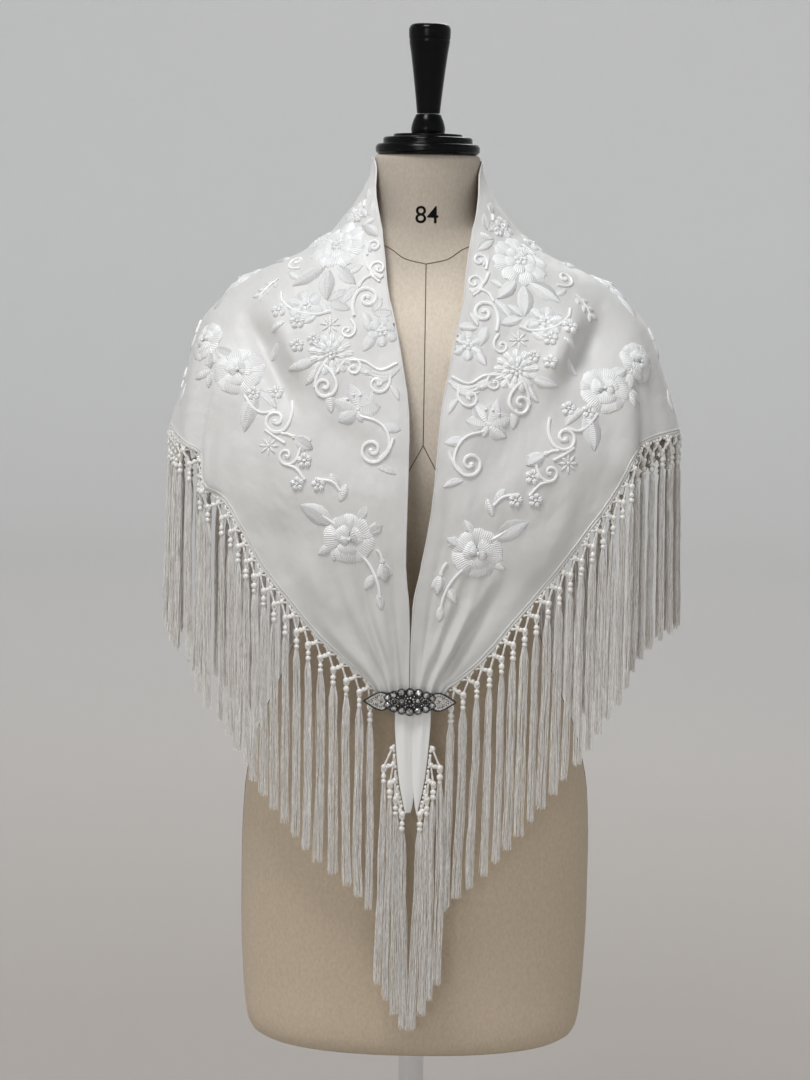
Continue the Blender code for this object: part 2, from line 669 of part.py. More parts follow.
def make_shawl(crepe, silk):
    """The cloth as one wall, and the fringe along each quarter of its hem."""
    points, normals = cloth_grid()
    cloth = finished("shawl_cloth", cloth_mesh(points), crepe)
    walled(cloth, CLOTH_WALL)
    hem = points[:, -1] - normals[:, -1] * CLOTH_WALL / 2
    away = points[:, -1] - points[:, -2]
    away /= np.linalg.norm(away, axis=1, keepdims=True)
    outward = normals[:, -1]
    side = COLUMNS_A_SIDE
    quarter = int(np.argmax(hem[:side, 2]))
    spans = {
        "fringe_front_left": (0, quarter),
        "fringe_back_left": (quarter, side),
        "fringe_back_right": (side, 2 * side - quarter),
        "fringe_front_right": (2 * side - quarter, 2 * side),
    }
    for name, (first, last) in spans.items():
        part = slice(first, last + 1)
        edge = hem[part].copy()
        for end, inner in ((0, 1), (-1, -2)):
            inwards = hem[part][inner] - hem[part][end]
            edge[end] += inwards / np.linalg.norm(inwards) * GAP / 2
        make_fringe(name, edge, away[part], outward[part], silk)
    return cloth


def make_tails(crepe, silk):
    """The two folded ends that hang side by side below the brooch, and their fringes."""
    tails = []
    for side, word in ((-1, "left"), (1, "right")):
        share = np.linspace(0, 1, TAIL_ACROSS)
        points = np.zeros((TAIL_ACROSS, len(TAIL_ROWS), 3))
        for r, row in enumerate(TAIL_ROWS):
            across = row.inner + (row.outer - row.inner) * share
            bulge = TAIL_BULGE * (row.outer - row.inner) * np.sin(math.pi * share)
            points[:, r, 0] = TAIL_X + side * across
            points[:, r, 1] = -row.depth - bulge
            points[:, r, 2] = row.height
        mesh_data = cloth_mesh(points)
        if side > 0:
            bmesh.ops.reverse_faces(mesh_data, faces=mesh_data.faces)
        made = finished(f"tail_{word}", mesh_data, crepe)
        walled(made, TAIL_WALL)
        edge = points[-1, TAIL_FRINGE_FROM:] + np.array([0, TAIL_WALL / 2, 0])
        away = np.tile([side, 0.0, TAIL_FRINGE_LEAN], (len(edge), 1))
        outward = np.tile([0.0, -1.0, 0.0], (len(edge), 1))
        make_fringe(
            f"fringe_tail_{word}", edge, away, outward, silk, TAIL_REACHES, TAIL_FRINGE_LENGTH
        )
        tails.append(made)
    return tails


def plate_from(outline, front, thickness, finish, name):
    """An outline in X and Z, given thickness towards the back and a small bevel in front."""
    mesh_data = bmesh.new()
    verts = [mesh_data.verts.new((x, front, z)) for x, z in outline]
    face = mesh_data.faces.new(verts)
    made = bmesh.ops.extrude_face_region(mesh_data, geom=[face])
    moved = [g for g in made["geom"] if isinstance(g, bmesh.types.BMVert)]
    bmesh.ops.translate(mesh_data, verts=moved, vec=(0, thickness, 0))
    bmesh.ops.recalc_face_normals(mesh_data, faces=mesh_data.faces)
    rim = [e for e in mesh_data.edges if all(abs(v.co.y - front) < 1e-6 for v in e.verts)]
    bmesh.ops.bevel(
        mesh_data,
        geom=rim,
        offset=PLATE_BEVEL,
        affect="EDGES",
        segments=1,
        profile=0.5,
        material=-1,
    )
    return finished(name, mesh_data, finish, smooth=False)


def foremost(sheets):
    """The least Y of these sheets' outer faces behind the brooch."""
    trees = [
        BVHTree.FromPolygons(
            [v.co for v in sheet.data.vertices], [p.vertices for p in sheet.data.polygons]
        )
        for sheet in sheets
    ]
    found = []
    for share in np.linspace(0.0, 1.05, 12):
        for x, z in brooch_outline(share):
            hits = [tree.ray_cast(Vector((x, -1.0, z)), Vector((0, 1, 0)))[0] for tree in trees]
            found += [hit.y for hit in hits if hit and hit.y < 0]
    return min(found)


def brooch_outline(share=1.0):
    """The pointed plate's outline, or a smaller copy of it, as (x, z)."""
    points = []
    for a in np.linspace(0, 2 * math.pi, 40, endpoint=False):
        across = BROOCH_HALF_LENGTH * math.cos(a)
        up = BROOCH_HALF_HEIGHT * math.copysign(abs(math.sin(a)) ** POINTEDNESS, math.sin(a))
        points.append((BROOCH_X + share * across, BROOCH_Z + share * up))
    return points


def make_brooch(sheets, silver, crystal):
    """Pointed plate, scalloped cluster and three stones, in front of the gathered cloth."""
    plate_front = foremost(sheets) - GAP - BROOCH_PLATE
    plate_from(brooch_outline(), plate_front, BROOCH_PLATE, silver, "brooch_plate")
    cluster_front = plate_front - GAP - CLUSTER_THICKNESS
    scallop = []
    for a in np.linspace(0, 2 * math.pi, 4 * CLUSTER_LOBES, endpoint=False):
        reach = 1 + LOBE_DEPTH * math.cos(CLUSTER_LOBES * a)
        across = CLUSTER_HALF_LENGTH * reach * math.cos(a)
        up = CLUSTER_HALF_HEIGHT * reach * math.sin(a)
        scallop.append((BROOCH_X + across, BROOCH_Z + up))
    plate_from(scallop, cluster_front, CLUSTER_THICKNESS, silver, "brooch_cluster")
    for stone in STONES:
        mesh_data = bmesh.new()
        bmesh.ops.create_uvsphere(mesh_data, u_segments=10, v_segments=6, radius=stone.radius)
        cut = mesh_data.verts[:] + mesh_data.edges[:] + mesh_data.faces[:]
        bmesh.ops.bisect_plane(
            mesh_data, geom=cut, plane_co=(0, 0, 0), plane_no=(0, 0, -1), clear_outer=True
        )
        open_edges = [e for e in mesh_data.edges if e.is_boundary]
        bmesh.ops.edgeloop_fill(mesh_data, edges=open_edges)
        bmesh.ops.scale(mesh_data, verts=mesh_data.verts, vec=(1, 1, STONE_FLATNESS))
        middle = Vector((BROOCH_X + stone.across, cluster_front - GAP, BROOCH_Z))
        for vert in mesh_data.verts:
            vert.co = middle + Vector((vert.co.x, -vert.co.z, vert.co.y))
        bmesh.ops.recalc_face_normals(mesh_data, faces=mesh_data.faces)
        finished(f"brooch_stone_{stone.word}", mesh_data, crystal)


def main():
    clear_scene()
    canvas = material("canvas", (0.74, 0.68, 0.58), 0.85)
    lacquer = material("black_lacquer", (0.012, 0.012, 0.014), 0.22)
    chrome = material("chrome", (0.80, 0.80, 0.82), 0.12, 1.0)
    iron = material("painted_iron", (0.03, 0.03, 0.03), 0.45)
    crepe = material("ivory_crepe", (0.90, 0.88, 0.84), 0.55)
    silk = material("ivory_silk", (0.86, 0.82, 0.76), 0.38)
    silver = material("aged_silver", (0.42, 0.40, 0.37), 0.32, 1.0)
    crystal = material("crystal", (0.82, 0.82, 0.82), 0.08)
    make_stand(chrome, iron)
    make_form(canvas)
    make_finial(lacquer)
    cloth = make_shawl(crepe, silk)
    tails = make_tails(crepe, silk)
    make_brooch([cloth, *tails], silver, crystal)


main()
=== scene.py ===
# %% [markdown]
# A white embroidered shawl with a knotted fringe, pinned with a brooch on a limbless dress form.
# The real one is a triangle of silk crepe, folded round the neck, with flowers worked in raised
# satin stitch and a hand-knotted net and tassels along its two short sides. The fixed model gives
# every piece its size and place. This lesson gives them their surface: fine cloth, stitches,
# threads, silver and lacquer. Everything is in metres, and the form faces -Y.

import math
import random
from collections import namedtuple

import bmesh
import bpy
import numpy as np
from mathutils import Matrix, Vector, noise
from mathutils.bvhtree import BVHTree


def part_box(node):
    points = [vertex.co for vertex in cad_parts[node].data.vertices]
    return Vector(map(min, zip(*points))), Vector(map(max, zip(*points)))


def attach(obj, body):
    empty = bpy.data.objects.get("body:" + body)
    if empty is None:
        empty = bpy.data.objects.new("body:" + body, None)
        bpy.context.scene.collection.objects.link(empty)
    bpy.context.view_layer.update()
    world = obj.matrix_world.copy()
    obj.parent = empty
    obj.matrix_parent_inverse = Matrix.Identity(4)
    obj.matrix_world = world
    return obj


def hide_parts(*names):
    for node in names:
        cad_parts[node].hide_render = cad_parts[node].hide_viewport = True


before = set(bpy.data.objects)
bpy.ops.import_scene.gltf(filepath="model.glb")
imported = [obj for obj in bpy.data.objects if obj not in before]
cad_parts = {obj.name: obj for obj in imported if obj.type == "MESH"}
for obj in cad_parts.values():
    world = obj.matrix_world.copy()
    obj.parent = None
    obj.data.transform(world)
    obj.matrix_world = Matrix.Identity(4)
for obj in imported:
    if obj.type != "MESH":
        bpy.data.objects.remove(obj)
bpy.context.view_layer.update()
BODY = "root"

# %% [markdown]
# The photograph was taken from 2.2 m away with a short telephoto lens, a little above the chest,
# looking eight degrees down. The frame cuts the form off above its stand. A long lens keeps the
# shoulders from looking too wide, and one degree of roll makes the pole lean as it does there.

# %% Camera
CAMERA_PLACE = (-0.015, -2.2, 1.2147)
LOOKING_DOWN = 8.0
ROLL = 1.0
LENS = 77.0
SENSOR = 36.0


def linked(name, data):
    """A new object in the scene."""
    made = bpy.data.objects.new(name, data)
    bpy.context.scene.collection.objects.link(made)
    return made


camera = linked("camera", bpy.data.cameras.new("camera"))
camera.data.lens = LENS
camera.data.sensor_fit = "AUTO"
camera.data.sensor_width = SENSOR
camera.location = CAMERA_PLACE
tilt = Matrix.Rotation(math.radians(90 - LOOKING_DOWN), 3, "X")
camera.rotation_euler = (tilt @ Matrix.Rotation(math.radians(ROLL), 3, "Z")).to_euler()
bpy.context.scene.camera = camera
print("camera at", CAMERA_PLACE)

# %% [markdown]
# A node graph is easier to read when each node is one call. The first helper makes a node, sets
# its options and fills its sockets, and a socket that gets another node's output is linked to it.
# The others build what nearly every finish here needs: a colour that wanders between a few tones,
# layers of noise that stand on top of each other as a bump, and threads read from a UV map.

# %% Helpers for materials
Layer = namedtuple("Layer", "scale detail height strength")


def node(tree, kind, inputs=None, **options):
    """Adds a shader node, sets its options, and fills or links its sockets."""
    made = tree.nodes.new("ShaderNode" + kind)
    for key, value in options.items():
        setattr(made, key, value)
    for key, value in (inputs or {}).items():
        if isinstance(value, bpy.types.NodeSocket):
            tree.links.new(value, made.inputs[key])
        else:
            made.inputs[key].default_value = value
    return made


def calc(tree, operation, *values):
    """One step of arithmetic on numbers or sockets."""
    return node(tree, "Math", dict(enumerate(values)), operation=operation).outputs[0]


def ramp(tree, factor, *stops):
    """A colour that changes with a factor, from (place, (r, g, b)) stops."""
    made = node(tree, "ValToRGB", {"Fac": factor})
    elements = made.color_ramp.elements
    while len(elements) < len(stops):
        elements.new(0.5)
    for element, (place, colour) in zip(elements, stops):
        element.position = place
        element.color = (*colour, 1.0)
    return made.outputs["Color"]


def object_place(tree, stretch=(1, 1, 1)):
    """The point on the object, stretched along its axes."""
    place = node(tree, "TexCoord").outputs["Object"]
    return node(tree, "Mapping", {"Vector": place, "Scale": stretch}).outputs["Vector"]


def noise_of(tree, scale, detail=2.0, stretch=(1, 1, 1)):
    """Noise that is fixed to the object, so many features to the metre."""
    inputs = {"Vector": object_place(tree, stretch), "Scale": scale, "Detail": detail}
    return node(tree, "TexNoise", inputs).outputs["Fac"]


def bump(tree, height, distance, strength=1.0, under=None):
    """A bump so many metres high, on top of the one under it."""
    inputs = {"Height": height, "Distance": distance, "Strength": strength}
    if under:
        inputs["Normal"] = under
    return node(tree, "Bump", inputs).outputs["Normal"]


def tones(scale, detail, *stops, stretch=(1, 1, 1)):
    """Makes the function of a tree that gives a colour wandering between the stops."""
    return lambda tree: ramp(tree, noise_of(tree, scale, detail, stretch), *stops)


def relief(*layers):
    """Makes the function of a tree that stacks layers of noise as a bump, the last one lowest."""
    def stacked(tree):
        normal = None
        for layer in reversed(layers):
            height = noise_of(tree, layer.scale, layer.detail)
            normal = bump(tree, height, layer.height, layer.strength, normal)
        return normal
    return stacked


def uv_part(tree, name, axis):
    """One coordinate of a UV map of the piece."""
    place = node(tree, "UVMap", uv_map=name).outputs["UV"]
    return node(tree, "SeparateXYZ", {"Vector": place}).outputs[axis]


def threads(tree, name, axis, count):
    """1 on the back of each thread and -1 between two, so many to one unit of a UV map."""
    return calc(tree, "SINE", calc(tree, "MULTIPLY", uv_part(tree, name, axis), count * 2 * math.pi))


def grey(value):
    """A colour with no hue."""
    return value, value, value


def finish(name, colour, roughness, normal=None, **sockets):
    """A Principled material; colour, roughness and normal may be made by a function of the tree."""
    made = bpy.data.materials.new(name)
    made.use_nodes = True
    tree = made.node_tree
    shader = tree.nodes["Principled BSDF"]
    for key, value in (("Base Color", colour), ("Roughness", roughness), ("Normal", normal)):
        if callable(value):
            tree.links.new(value(tree), shader.inputs[key])
        elif value is not None:
            shader.inputs[key].default_value = (*value, 1.0) if key == "Base Color" else value
    for key, value in sockets.items():
        shader.inputs[key.replace("_", " ")].default_value = value
    return made


print("material helpers are ready")

# %% [markdown]
# The studio is a large pale floor that curves up into a wall far behind, turned as one profile
# round the object, so that no horizon shows from any side. One wide softbox hangs over and in
# front of the form, as in the photograph, where the shoulders are bright and the hem is dim. Weak
# ones in front and behind and a pale sky fill the shadows. Four more shine outwards on the wall
# and leave the object alone.

# %% Floor and light
MERGE_DISTANCE = 1e-5
FLOOR_RADIUS = 6.0
SWEEP_RADIUS = 2.5
WALL_HEIGHT = 8.0
SWEEP_STEPS = 16
FLOOR_STEPS = 96
# Painted shade: the floor is painted darker and warmer near the object and lighter towards the wall.
PAPER_TONES_WITH_PAINTED_SHADE = (
    (0.15, (0.47, 0.435, 0.40)), (0.60, (0.66, 0.645, 0.63)), (0.95, (0.76, 0.76, 0.755)),
)
PAPER_ROUGHNESS = 0.9
WALL_LIGHT_RADIUS = 3.2
WALL_LIGHT_HEIGHT = 4.6
WALL_LIGHT_SIZE = 3.0
WALL_LIGHT_POWER = 100.0
WALL_AIM_RADIUS = FLOOR_RADIUS * 1.3
WALL_AIM_HEIGHT = 1.0
SKY_COLOUR = (0.90, 0.94, 1.0, 1.0)
SKY_STRENGTH = 0.26


def spun(mesh_data, line, steps, axis=(0, 0, 1), closed=False):
    """Turns a line of points right round an axis through the origin, welded where it meets."""
    verts = [mesh_data.verts.new(point) for point in line]
    following = verts[1:] + verts[:1] if closed else verts[1:]
    edges = [mesh_data.edges.new(pair) for pair in zip(verts, following)]
    bmesh.ops.spin(mesh_data, geom=verts + edges, angle=2 * math.pi, steps=steps,
                   axis=axis, cent=(0, 0, 0), use_merge=True)
    bmesh.ops.remove_doubles(mesh_data, verts=mesh_data.verts, dist=MERGE_DISTANCE)


def mesh_from(name, mesh_data):
    """Turns a bmesh into a mesh and frees it."""
    mesh = bpy.data.meshes.new(name)
    mesh_data.to_mesh(mesh)
    mesh_data.free()
    return mesh


def studio_floor():
    """The floor's profile, an arc into the wall, spun round the middle."""
    line = [(0.0, 0.0, 0.0)]
    for step in range(SWEEP_STEPS + 1):
        turn = math.pi / 2 * step / SWEEP_STEPS
        out = FLOOR_RADIUS + SWEEP_RADIUS * math.sin(turn)
        line.append((out, 0.0, SWEEP_RADIUS * (1 - math.cos(turn))))
    line.append((FLOOR_RADIUS + SWEEP_RADIUS, 0.0, WALL_HEIGHT))
    mesh_data = bmesh.new()
    spun(mesh_data, line, FLOOR_STEPS)
    mesh = mesh_from("studio_floor", mesh_data)
    mesh.shade_smooth()
    mesh.materials.append(finish("pale_paper", paper_with_painted_shade, PAPER_ROUGHNESS))
    return linked("studio_floor", mesh)


def paper_with_painted_shade(tree):
    """Paper with painted shade: warmer and a little darker round the object, lighter towards the wall."""
    flat_place = object_place(tree, (1, 1, 0))
    away = node(tree, "VectorMath", {0: flat_place}, operation="LENGTH").outputs["Value"]
    return ramp(tree, calc(tree, "DIVIDE", away, FLOOR_RADIUS + SWEEP_RADIUS), *PAPER_TONES_WITH_PAINTED_SHADE)


def softbox(name, place, aim, size, power, colour=(1.0, 1.0, 1.0)):
    """A square area light that points at a place."""
    light = bpy.data.lights.new(name, "AREA")
    light.size = size
    light.energy = power
    light.color = colour
    made = linked(name, light)
    made.location = place
    made.rotation_euler = (Vector(aim) - Vector(place)).to_track_quat("-Z", "Y").to_euler()


floor = studio_floor()
softbox("key", place=(-0.60, -1.05, 3.25), aim=(0.0, 0.0, 1.0), size=0.8, power=40.0,
        colour=(0.98, 0.99, 1.0))
softbox("front", place=(-1.2, -3.6, 1.8), aim=(0.0, 0.0, 0.9), size=1.2, power=14.0)
softbox("behind", place=(0.4, 2.4, 2.9), aim=(0.0, 0.0, 1.0), size=1.2, power=22.0)
for number in range(4):
    turn = math.pi / 2 * number
    place = (WALL_LIGHT_RADIUS * math.sin(turn), WALL_LIGHT_RADIUS * math.cos(turn), WALL_LIGHT_HEIGHT)
    aim = (WALL_AIM_RADIUS * math.sin(turn), WALL_AIM_RADIUS * math.cos(turn), WALL_AIM_HEIGHT)
    softbox(f"wall_{number}", place, aim, WALL_LIGHT_SIZE, WALL_LIGHT_POWER)

world = bpy.data.worlds.new("studio_sky")
world.use_nodes = True
sky = world.node_tree.nodes["Background"]
sky.inputs["Color"].default_value = SKY_COLOUR
sky.inputs["Strength"].default_value = SKY_STRENGTH
bpy.context.scene.world = world
bpy.context.scene.view_settings.view_transform = "Standard"

# %% [markdown]
# The finishes. Silk crepe is matt with a soft sheen and a very fine grain; the two ends below the
# brooch are given a whiter colour, painted light that makes them look brighter. Floss silk for the
# embroidery and the tassels is glossier; the tassels' lighter streaks along the threads are
# painted highlights, and the stitches carry painted shade. The form is covered in fine beige
# canvas, with painted light and shade by height, its handle and cap are black lacquer, and the
# brooch is old silver whose hollows and gaps are dark, partly tarnish and partly painted shadow.
# Constant values sit on the shader itself, and only what varies over the surface comes from nodes.

# %% Finishes
CREPE_GRAIN = Layer(1500.0, 2.0, 0.0002, 0.35)
CREPE_LIGHT = {"Sheen_Weight": 0.35, "Sheen_Roughness": 0.35, "Specular_IOR_Level": 0.45}
crepe = finish(
    "ivory_crepe", tones(14.0, 3.0, (0.3, (0.69, 0.68, 0.66)), (0.7, (0.75, 0.74, 0.72))), 0.47,
    relief(CREPE_GRAIN, Layer(90.0, 2.0, 0.0008, 0.5), Layer(26.0, 3.0, 0.0040, 0.35)),
    **CREPE_LIGHT,
)
# Painted light: the hanging ends get a much whiter colour than the shawl, so that they look brighter.
crepe_with_painted_light = finish(
    "crepe_with_painted_light", tones(14.0, 3.0, (0.3, (0.90, 0.895, 0.875)), (0.7, (0.96, 0.955, 0.94))), 0.47,
    relief(CREPE_GRAIN, Layer(60.0, 2.0, 0.0010, 0.4)),
    **CREPE_LIGHT,
)
NECK_TOP = 1.271
CANVAS_THREADS = 900
CANVAS_GAIN = (1.27, 1.32, 1.40, 1.0)
# Painted light and shade by height: these stops lighten the canvas high on the chest and darken it lower
# down and on the neck.
CANVAS_PAINTED_LIGHT_AND_SHADE = (
    (0.66, (0.78, 0.73, 0.66)), (0.80, (0.90, 0.91, 0.93)), (0.89, (1.0, 1.0, 1.0)),
    (0.94, (0.68, 0.68, 0.68)),
)
STITCH_TONES_AND_PAINTED_SHADE = ((0.0, (0.58, 0.575, 0.565)), (0.5, (0.88, 0.88, 0.87)), (0.9, (0.99, 0.99, 0.985)))
PAINTED_SHADE_BETWEEN_THREADS = 0.14
THREAD_RELIEF = 0.00017
WEAVE_RELIEF = 0.00015


def stitch_colour(tree):
    """The stitches' UV map counts threads in X and holds in Y the painted shade of each part,
    lighter or darker as the silk would catch the light; painted shade darkens the colour between the
    threads."""
    # Painted light and shade: the colour is lighter on the back of each thread and darker between two.
    shade = calc(tree, "MULTIPLY", threads(tree, "stitch", "X", 1), PAINTED_SHADE_BETWEEN_THREADS)
    return ramp(tree, calc(tree, "ADD", shade, uv_part(tree, "stitch", "Y")), *STITCH_TONES_AND_PAINTED_SHADE)


def stitch_relief(tree):
    """Each thread stands up a little, and the padding under it is uneven."""
    padding = relief(Layer(500.0, 2.0, 0.0002, 0.5))(tree)
    return bump(tree, threads(tree, "stitch", "X", 1), THREAD_RELIEF, 1.0, padding)


def multiplied(tree, first, second):
    """Two colours multiplied."""
    inputs = {"Fac": 1.0, "Color1": first, "Color2": second}
    return node(tree, "MixRGB", inputs, blend_type="MULTIPLY").outputs[0]


def canvas_colour(tree):
    """Natural canvas with fine slubs, its colour changed by height: painted light high on the chest,
    painted shade lower on the trunk and on the neck under the cap.
    """
    slubs = tones(420.0, 4.0, (0.30, (0.60, 0.50, 0.385)), (0.70, (0.68, 0.58, 0.46)), stretch=(1, 1, 0.6))
    height = node(tree, "SeparateXYZ", {"Vector": object_place(tree)}).outputs["Z"]
    painted_light_and_shade = ramp(tree, calc(tree, "DIVIDE", height, NECK_TOP), *CANVAS_PAINTED_LIGHT_AND_SHADE)
    return multiplied(tree, multiplied(tree, slubs(tree), painted_light_and_shade), CANVAS_GAIN)


def canvas_relief(tree):
    """A plain weave over soft slubs."""
    weave = calc(tree, "MULTIPLY", *(threads(tree, "weave", axis, CANVAS_THREADS) for axis in "XY"))
    return bump(tree, weave, WEAVE_RELIEF, 0.5, relief(Layer(500.0, 2.0, 0.0003, 0.3))(tree))


satin_stitch = finish(
    "satin_stitch", stitch_colour, 0.34, stitch_relief,
    Sheen_Weight=0.35, Sheen_Roughness=0.3, Specular_IOR_Level=0.6,
)
# The lighter streaks along the threads are painted highlights, glints of light drawn into the colour.
tassel_silk = finish(
    "tassel_silk",
    tones(1000.0, 2.0, (0.34, (0.74, 0.70, 0.65)), (0.5, (0.89, 0.86, 0.82)), (0.66, (0.99, 0.98, 0.965)),
          stretch=(1, 1, 0.2)),
    0.30, Sheen_Weight=0.2, Sheen_Roughness=0.3, Specular_IOR_Level=0.8,
)
net_cord = finish(
    "net_cord", tones(250.0, 2.0, (0.3, (0.84, 0.81, 0.76)), (0.7, (0.95, 0.93, 0.90))), 0.26,
    relief(Layer(900.0, 2.0, 0.0002, 0.6)),
    Specular_IOR_Level=0.8, Coat_Weight=0.25, Coat_Roughness=0.2,
)
canvas = finish(
    "form_canvas", canvas_colour, 0.88, canvas_relief, Sheen_Weight=0.1, Specular_IOR_Level=0.25,
)
seam_thread = finish(
    "seam_thread", tones(800.0, 2.0, (0.3, (0.10, 0.065, 0.045)), (0.7, (0.16, 0.11, 0.08))), 0.8,
)
number_print = finish(
    "number_print", tones(1500.0, 2.0, (0.3, grey(0.003)), (0.75, grey(0.006))), 0.8,
    Specular_IOR_Level=0.1,
)
lacquer = finish(
    "black_lacquer", (0.002, 0.002, 0.0024), tones(40.0, 4.0, (0.3, grey(0.16)), (0.7, grey(0.24))),
    relief(Layer(120.0, 1.0, 0.0002, 0.12)),
    Specular_IOR_Level=0.10, Coat_Weight=0.08, Coat_Roughness=0.08,
)
iron = finish(
    "painted_iron", tones(20.0, 5.0, (0.3, (0.018, 0.018, 0.019)), (0.7, (0.028, 0.028, 0.03))), 0.42,
    relief(Layer(1200.0, 2.0, 0.0002, 0.4)),
)
chrome = finish(
    "polished_chrome", (0.80, 0.81, 0.83),
    tones(60.0, 4.0, (0.3, grey(0.07)), (0.7, grey(0.16)), stretch=(1, 1, 0.1)), Metallic=1.0,
)
old_silver = finish(
    "old_silver", tones(900.0, 3.0, (0.35, (0.45, 0.43, 0.41)), (0.65, (0.92, 0.90, 0.87))),
    tones(600.0, 2.0, (0.3, grey(0.38)), (0.7, grey(0.20))), Metallic=1.0,
)
# Tarnish and painted shadow: this dark finish of the hollows, gaps and rims stands partly for real tarnish
# and partly for the shade between the stones.
tarnish_and_painted_shadow = finish(
    "tarnish_and_painted_shadow", tones(900.0, 3.0, (0.35, (0.010, 0.009, 0.009)), (0.65, (0.09, 0.085, 0.08))), 0.5,
    Metallic=0.6,
)
crystal = finish(
    "clear_stone", tones(420.0, 2.0, (0.40, (0.16, 0.17, 0.16)), (0.60, (0.78, 0.80, 0.77))), 0.03,
    IOR=1.9, Transmission_Weight=0.25, Coat_Weight=1.0, Coat_Roughness=0.02,
)
dark_stone = finish(
    "dark_stone", tones(400.0, 2.0, (0.35, (0.012, 0.008, 0.010)), (0.7, (0.07, 0.045, 0.05))), 0.05,
    IOR=1.6, Coat_Weight=1.0, Coat_Roughness=0.03,
)
print("finishes:", [made.name for made in bpy.data.materials])

# %% [markdown]
# Every piece ends the same way: its mesh is shaded smooth with its hard edges kept, it rides on
# the one body, takes its materials, and may stand in for pieces of the fixed model. Long thin
# things, such as threads and cords, are curves with a bevel that are turned into one mesh
# together, because one curve object holds thousands of strands at little cost.

# %% Helpers for pieces
Line = namedtuple("Line", "points radius")


def rows_of(kind, rows):
    """Gives the rows of a table their column names."""
    return tuple(kind(*row) for row in rows)


def ready(name, mesh, finishes, stands_for=(), sharp=40.0):
    """Turns a mesh into a finished piece of the object."""
    for made in finishes:
        mesh.materials.append(made)
    mesh.shade_smooth()
    mesh.set_sharp_from_angle(angle=math.radians(sharp))
    piece = linked(name, mesh)
    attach(piece, BODY)
    if stands_for:
        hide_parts(*stands_for)
    print(name, len(mesh.polygons), "faces")
    return piece


def piece_from(name, mesh_data, finishes, stands_for=(), sharp=40.0):
    """Turns a bmesh into a finished piece."""
    return ready(name, mesh_from(name, mesh_data), finishes, stands_for, sharp)


def walled(piece, thickness):
    """Gives a sheet its thickness, inwards from its outer face."""
    wall = piece.modifiers.new("Wall", "SOLIDIFY")
    wall.thickness = thickness
    wall.offset = -1.0


def bevelled(mesh_data, edges, offset, segments):
    """Rounds edges of a bmesh."""
    bmesh.ops.bevel(mesh_data, geom=edges, offset=offset, affect="EDGES", segments=segments,
                    profile=0.5, material=-1)


def mesh_of(curve):
    """Turns a curve or a text into a mesh, and removes it."""
    holder = linked("holder", curve)
    bpy.context.view_layer.update()
    mesh = bpy.data.meshes.new_from_object(holder.evaluated_get(bpy.context.evaluated_depsgraph_get()))
    bpy.data.objects.remove(holder)
    bpy.data.curves.remove(curve)
    return mesh


def corded(lines, roundness=0):
    """One mesh of round cords, each a Line of points with one radius or a radius for each."""
    curve = bpy.data.curves.new("cords", "CURVE")
    curve.dimensions = "3D"
    curve.bevel_depth = 1.0
    curve.bevel_resolution = roundness
    curve.use_fill_caps = True
    for line in lines:
        count = len(line.points)
        spline = curve.splines.new("POLY")
        spline.points.add(count - 1)
        places = np.ones((count, 4))
        places[:, :3] = line.points
        spline.points.foreach_set("co", places.ravel())
        spline.points.foreach_set("radius", np.broadcast_to(line.radius, count).astype(float))
    return mesh_of(curve)


def template(make, **options):
    """A small mesh to be repeated, from a function that adds it to a bmesh."""
    mesh_data = bmesh.new()
    mesh_data.loops.layers.uv.new("stitch")
    make(mesh_data, **options)
    return mesh_from("template", mesh_data)


def add_copy(mesh_data, mesh, move=None, material=None):
    """Adds a mesh to a bmesh and returns its new vertices, moved by a function of the point."""
    before = len(mesh_data.verts)
    faces_before = len(mesh_data.faces)
    mesh_data.from_mesh(mesh)
    mesh_data.verts.ensure_lookup_table()
    new = mesh_data.verts[before:]
    if move:
        for vert in new:
            vert.co = move(vert.co)
    if material is not None:
        mesh_data.faces.ensure_lookup_table()
        for face in mesh_data.faces[faces_before:]:
            face.material_index = material
    return new


print("piece helpers are ready")

# %% [markdown]
# The cloth and the trunk are not free shapes: both are read from short tables of horizontal
# sections, and the cloth's folds from a table of ridges and troughs. These are the tables of the
# fixed model, so the fine surfaces lie exactly on the plain ones. Angles run round the body from
# the front centre (0) over the side (90) to the back (180), and are negative on the left.

# %% Tables of the form and the drape
TRUNK_BOTTOM = 0.420
BUST_HEIGHT = 0.985
BUST_ANGLE = 37.0
BUST_RISE = 0.024
BUST_WIDTH = 20.0
BUST_SPREAD = 0.050
CLOTH_END = 0.776
MEASURE_STEP = 0.0005

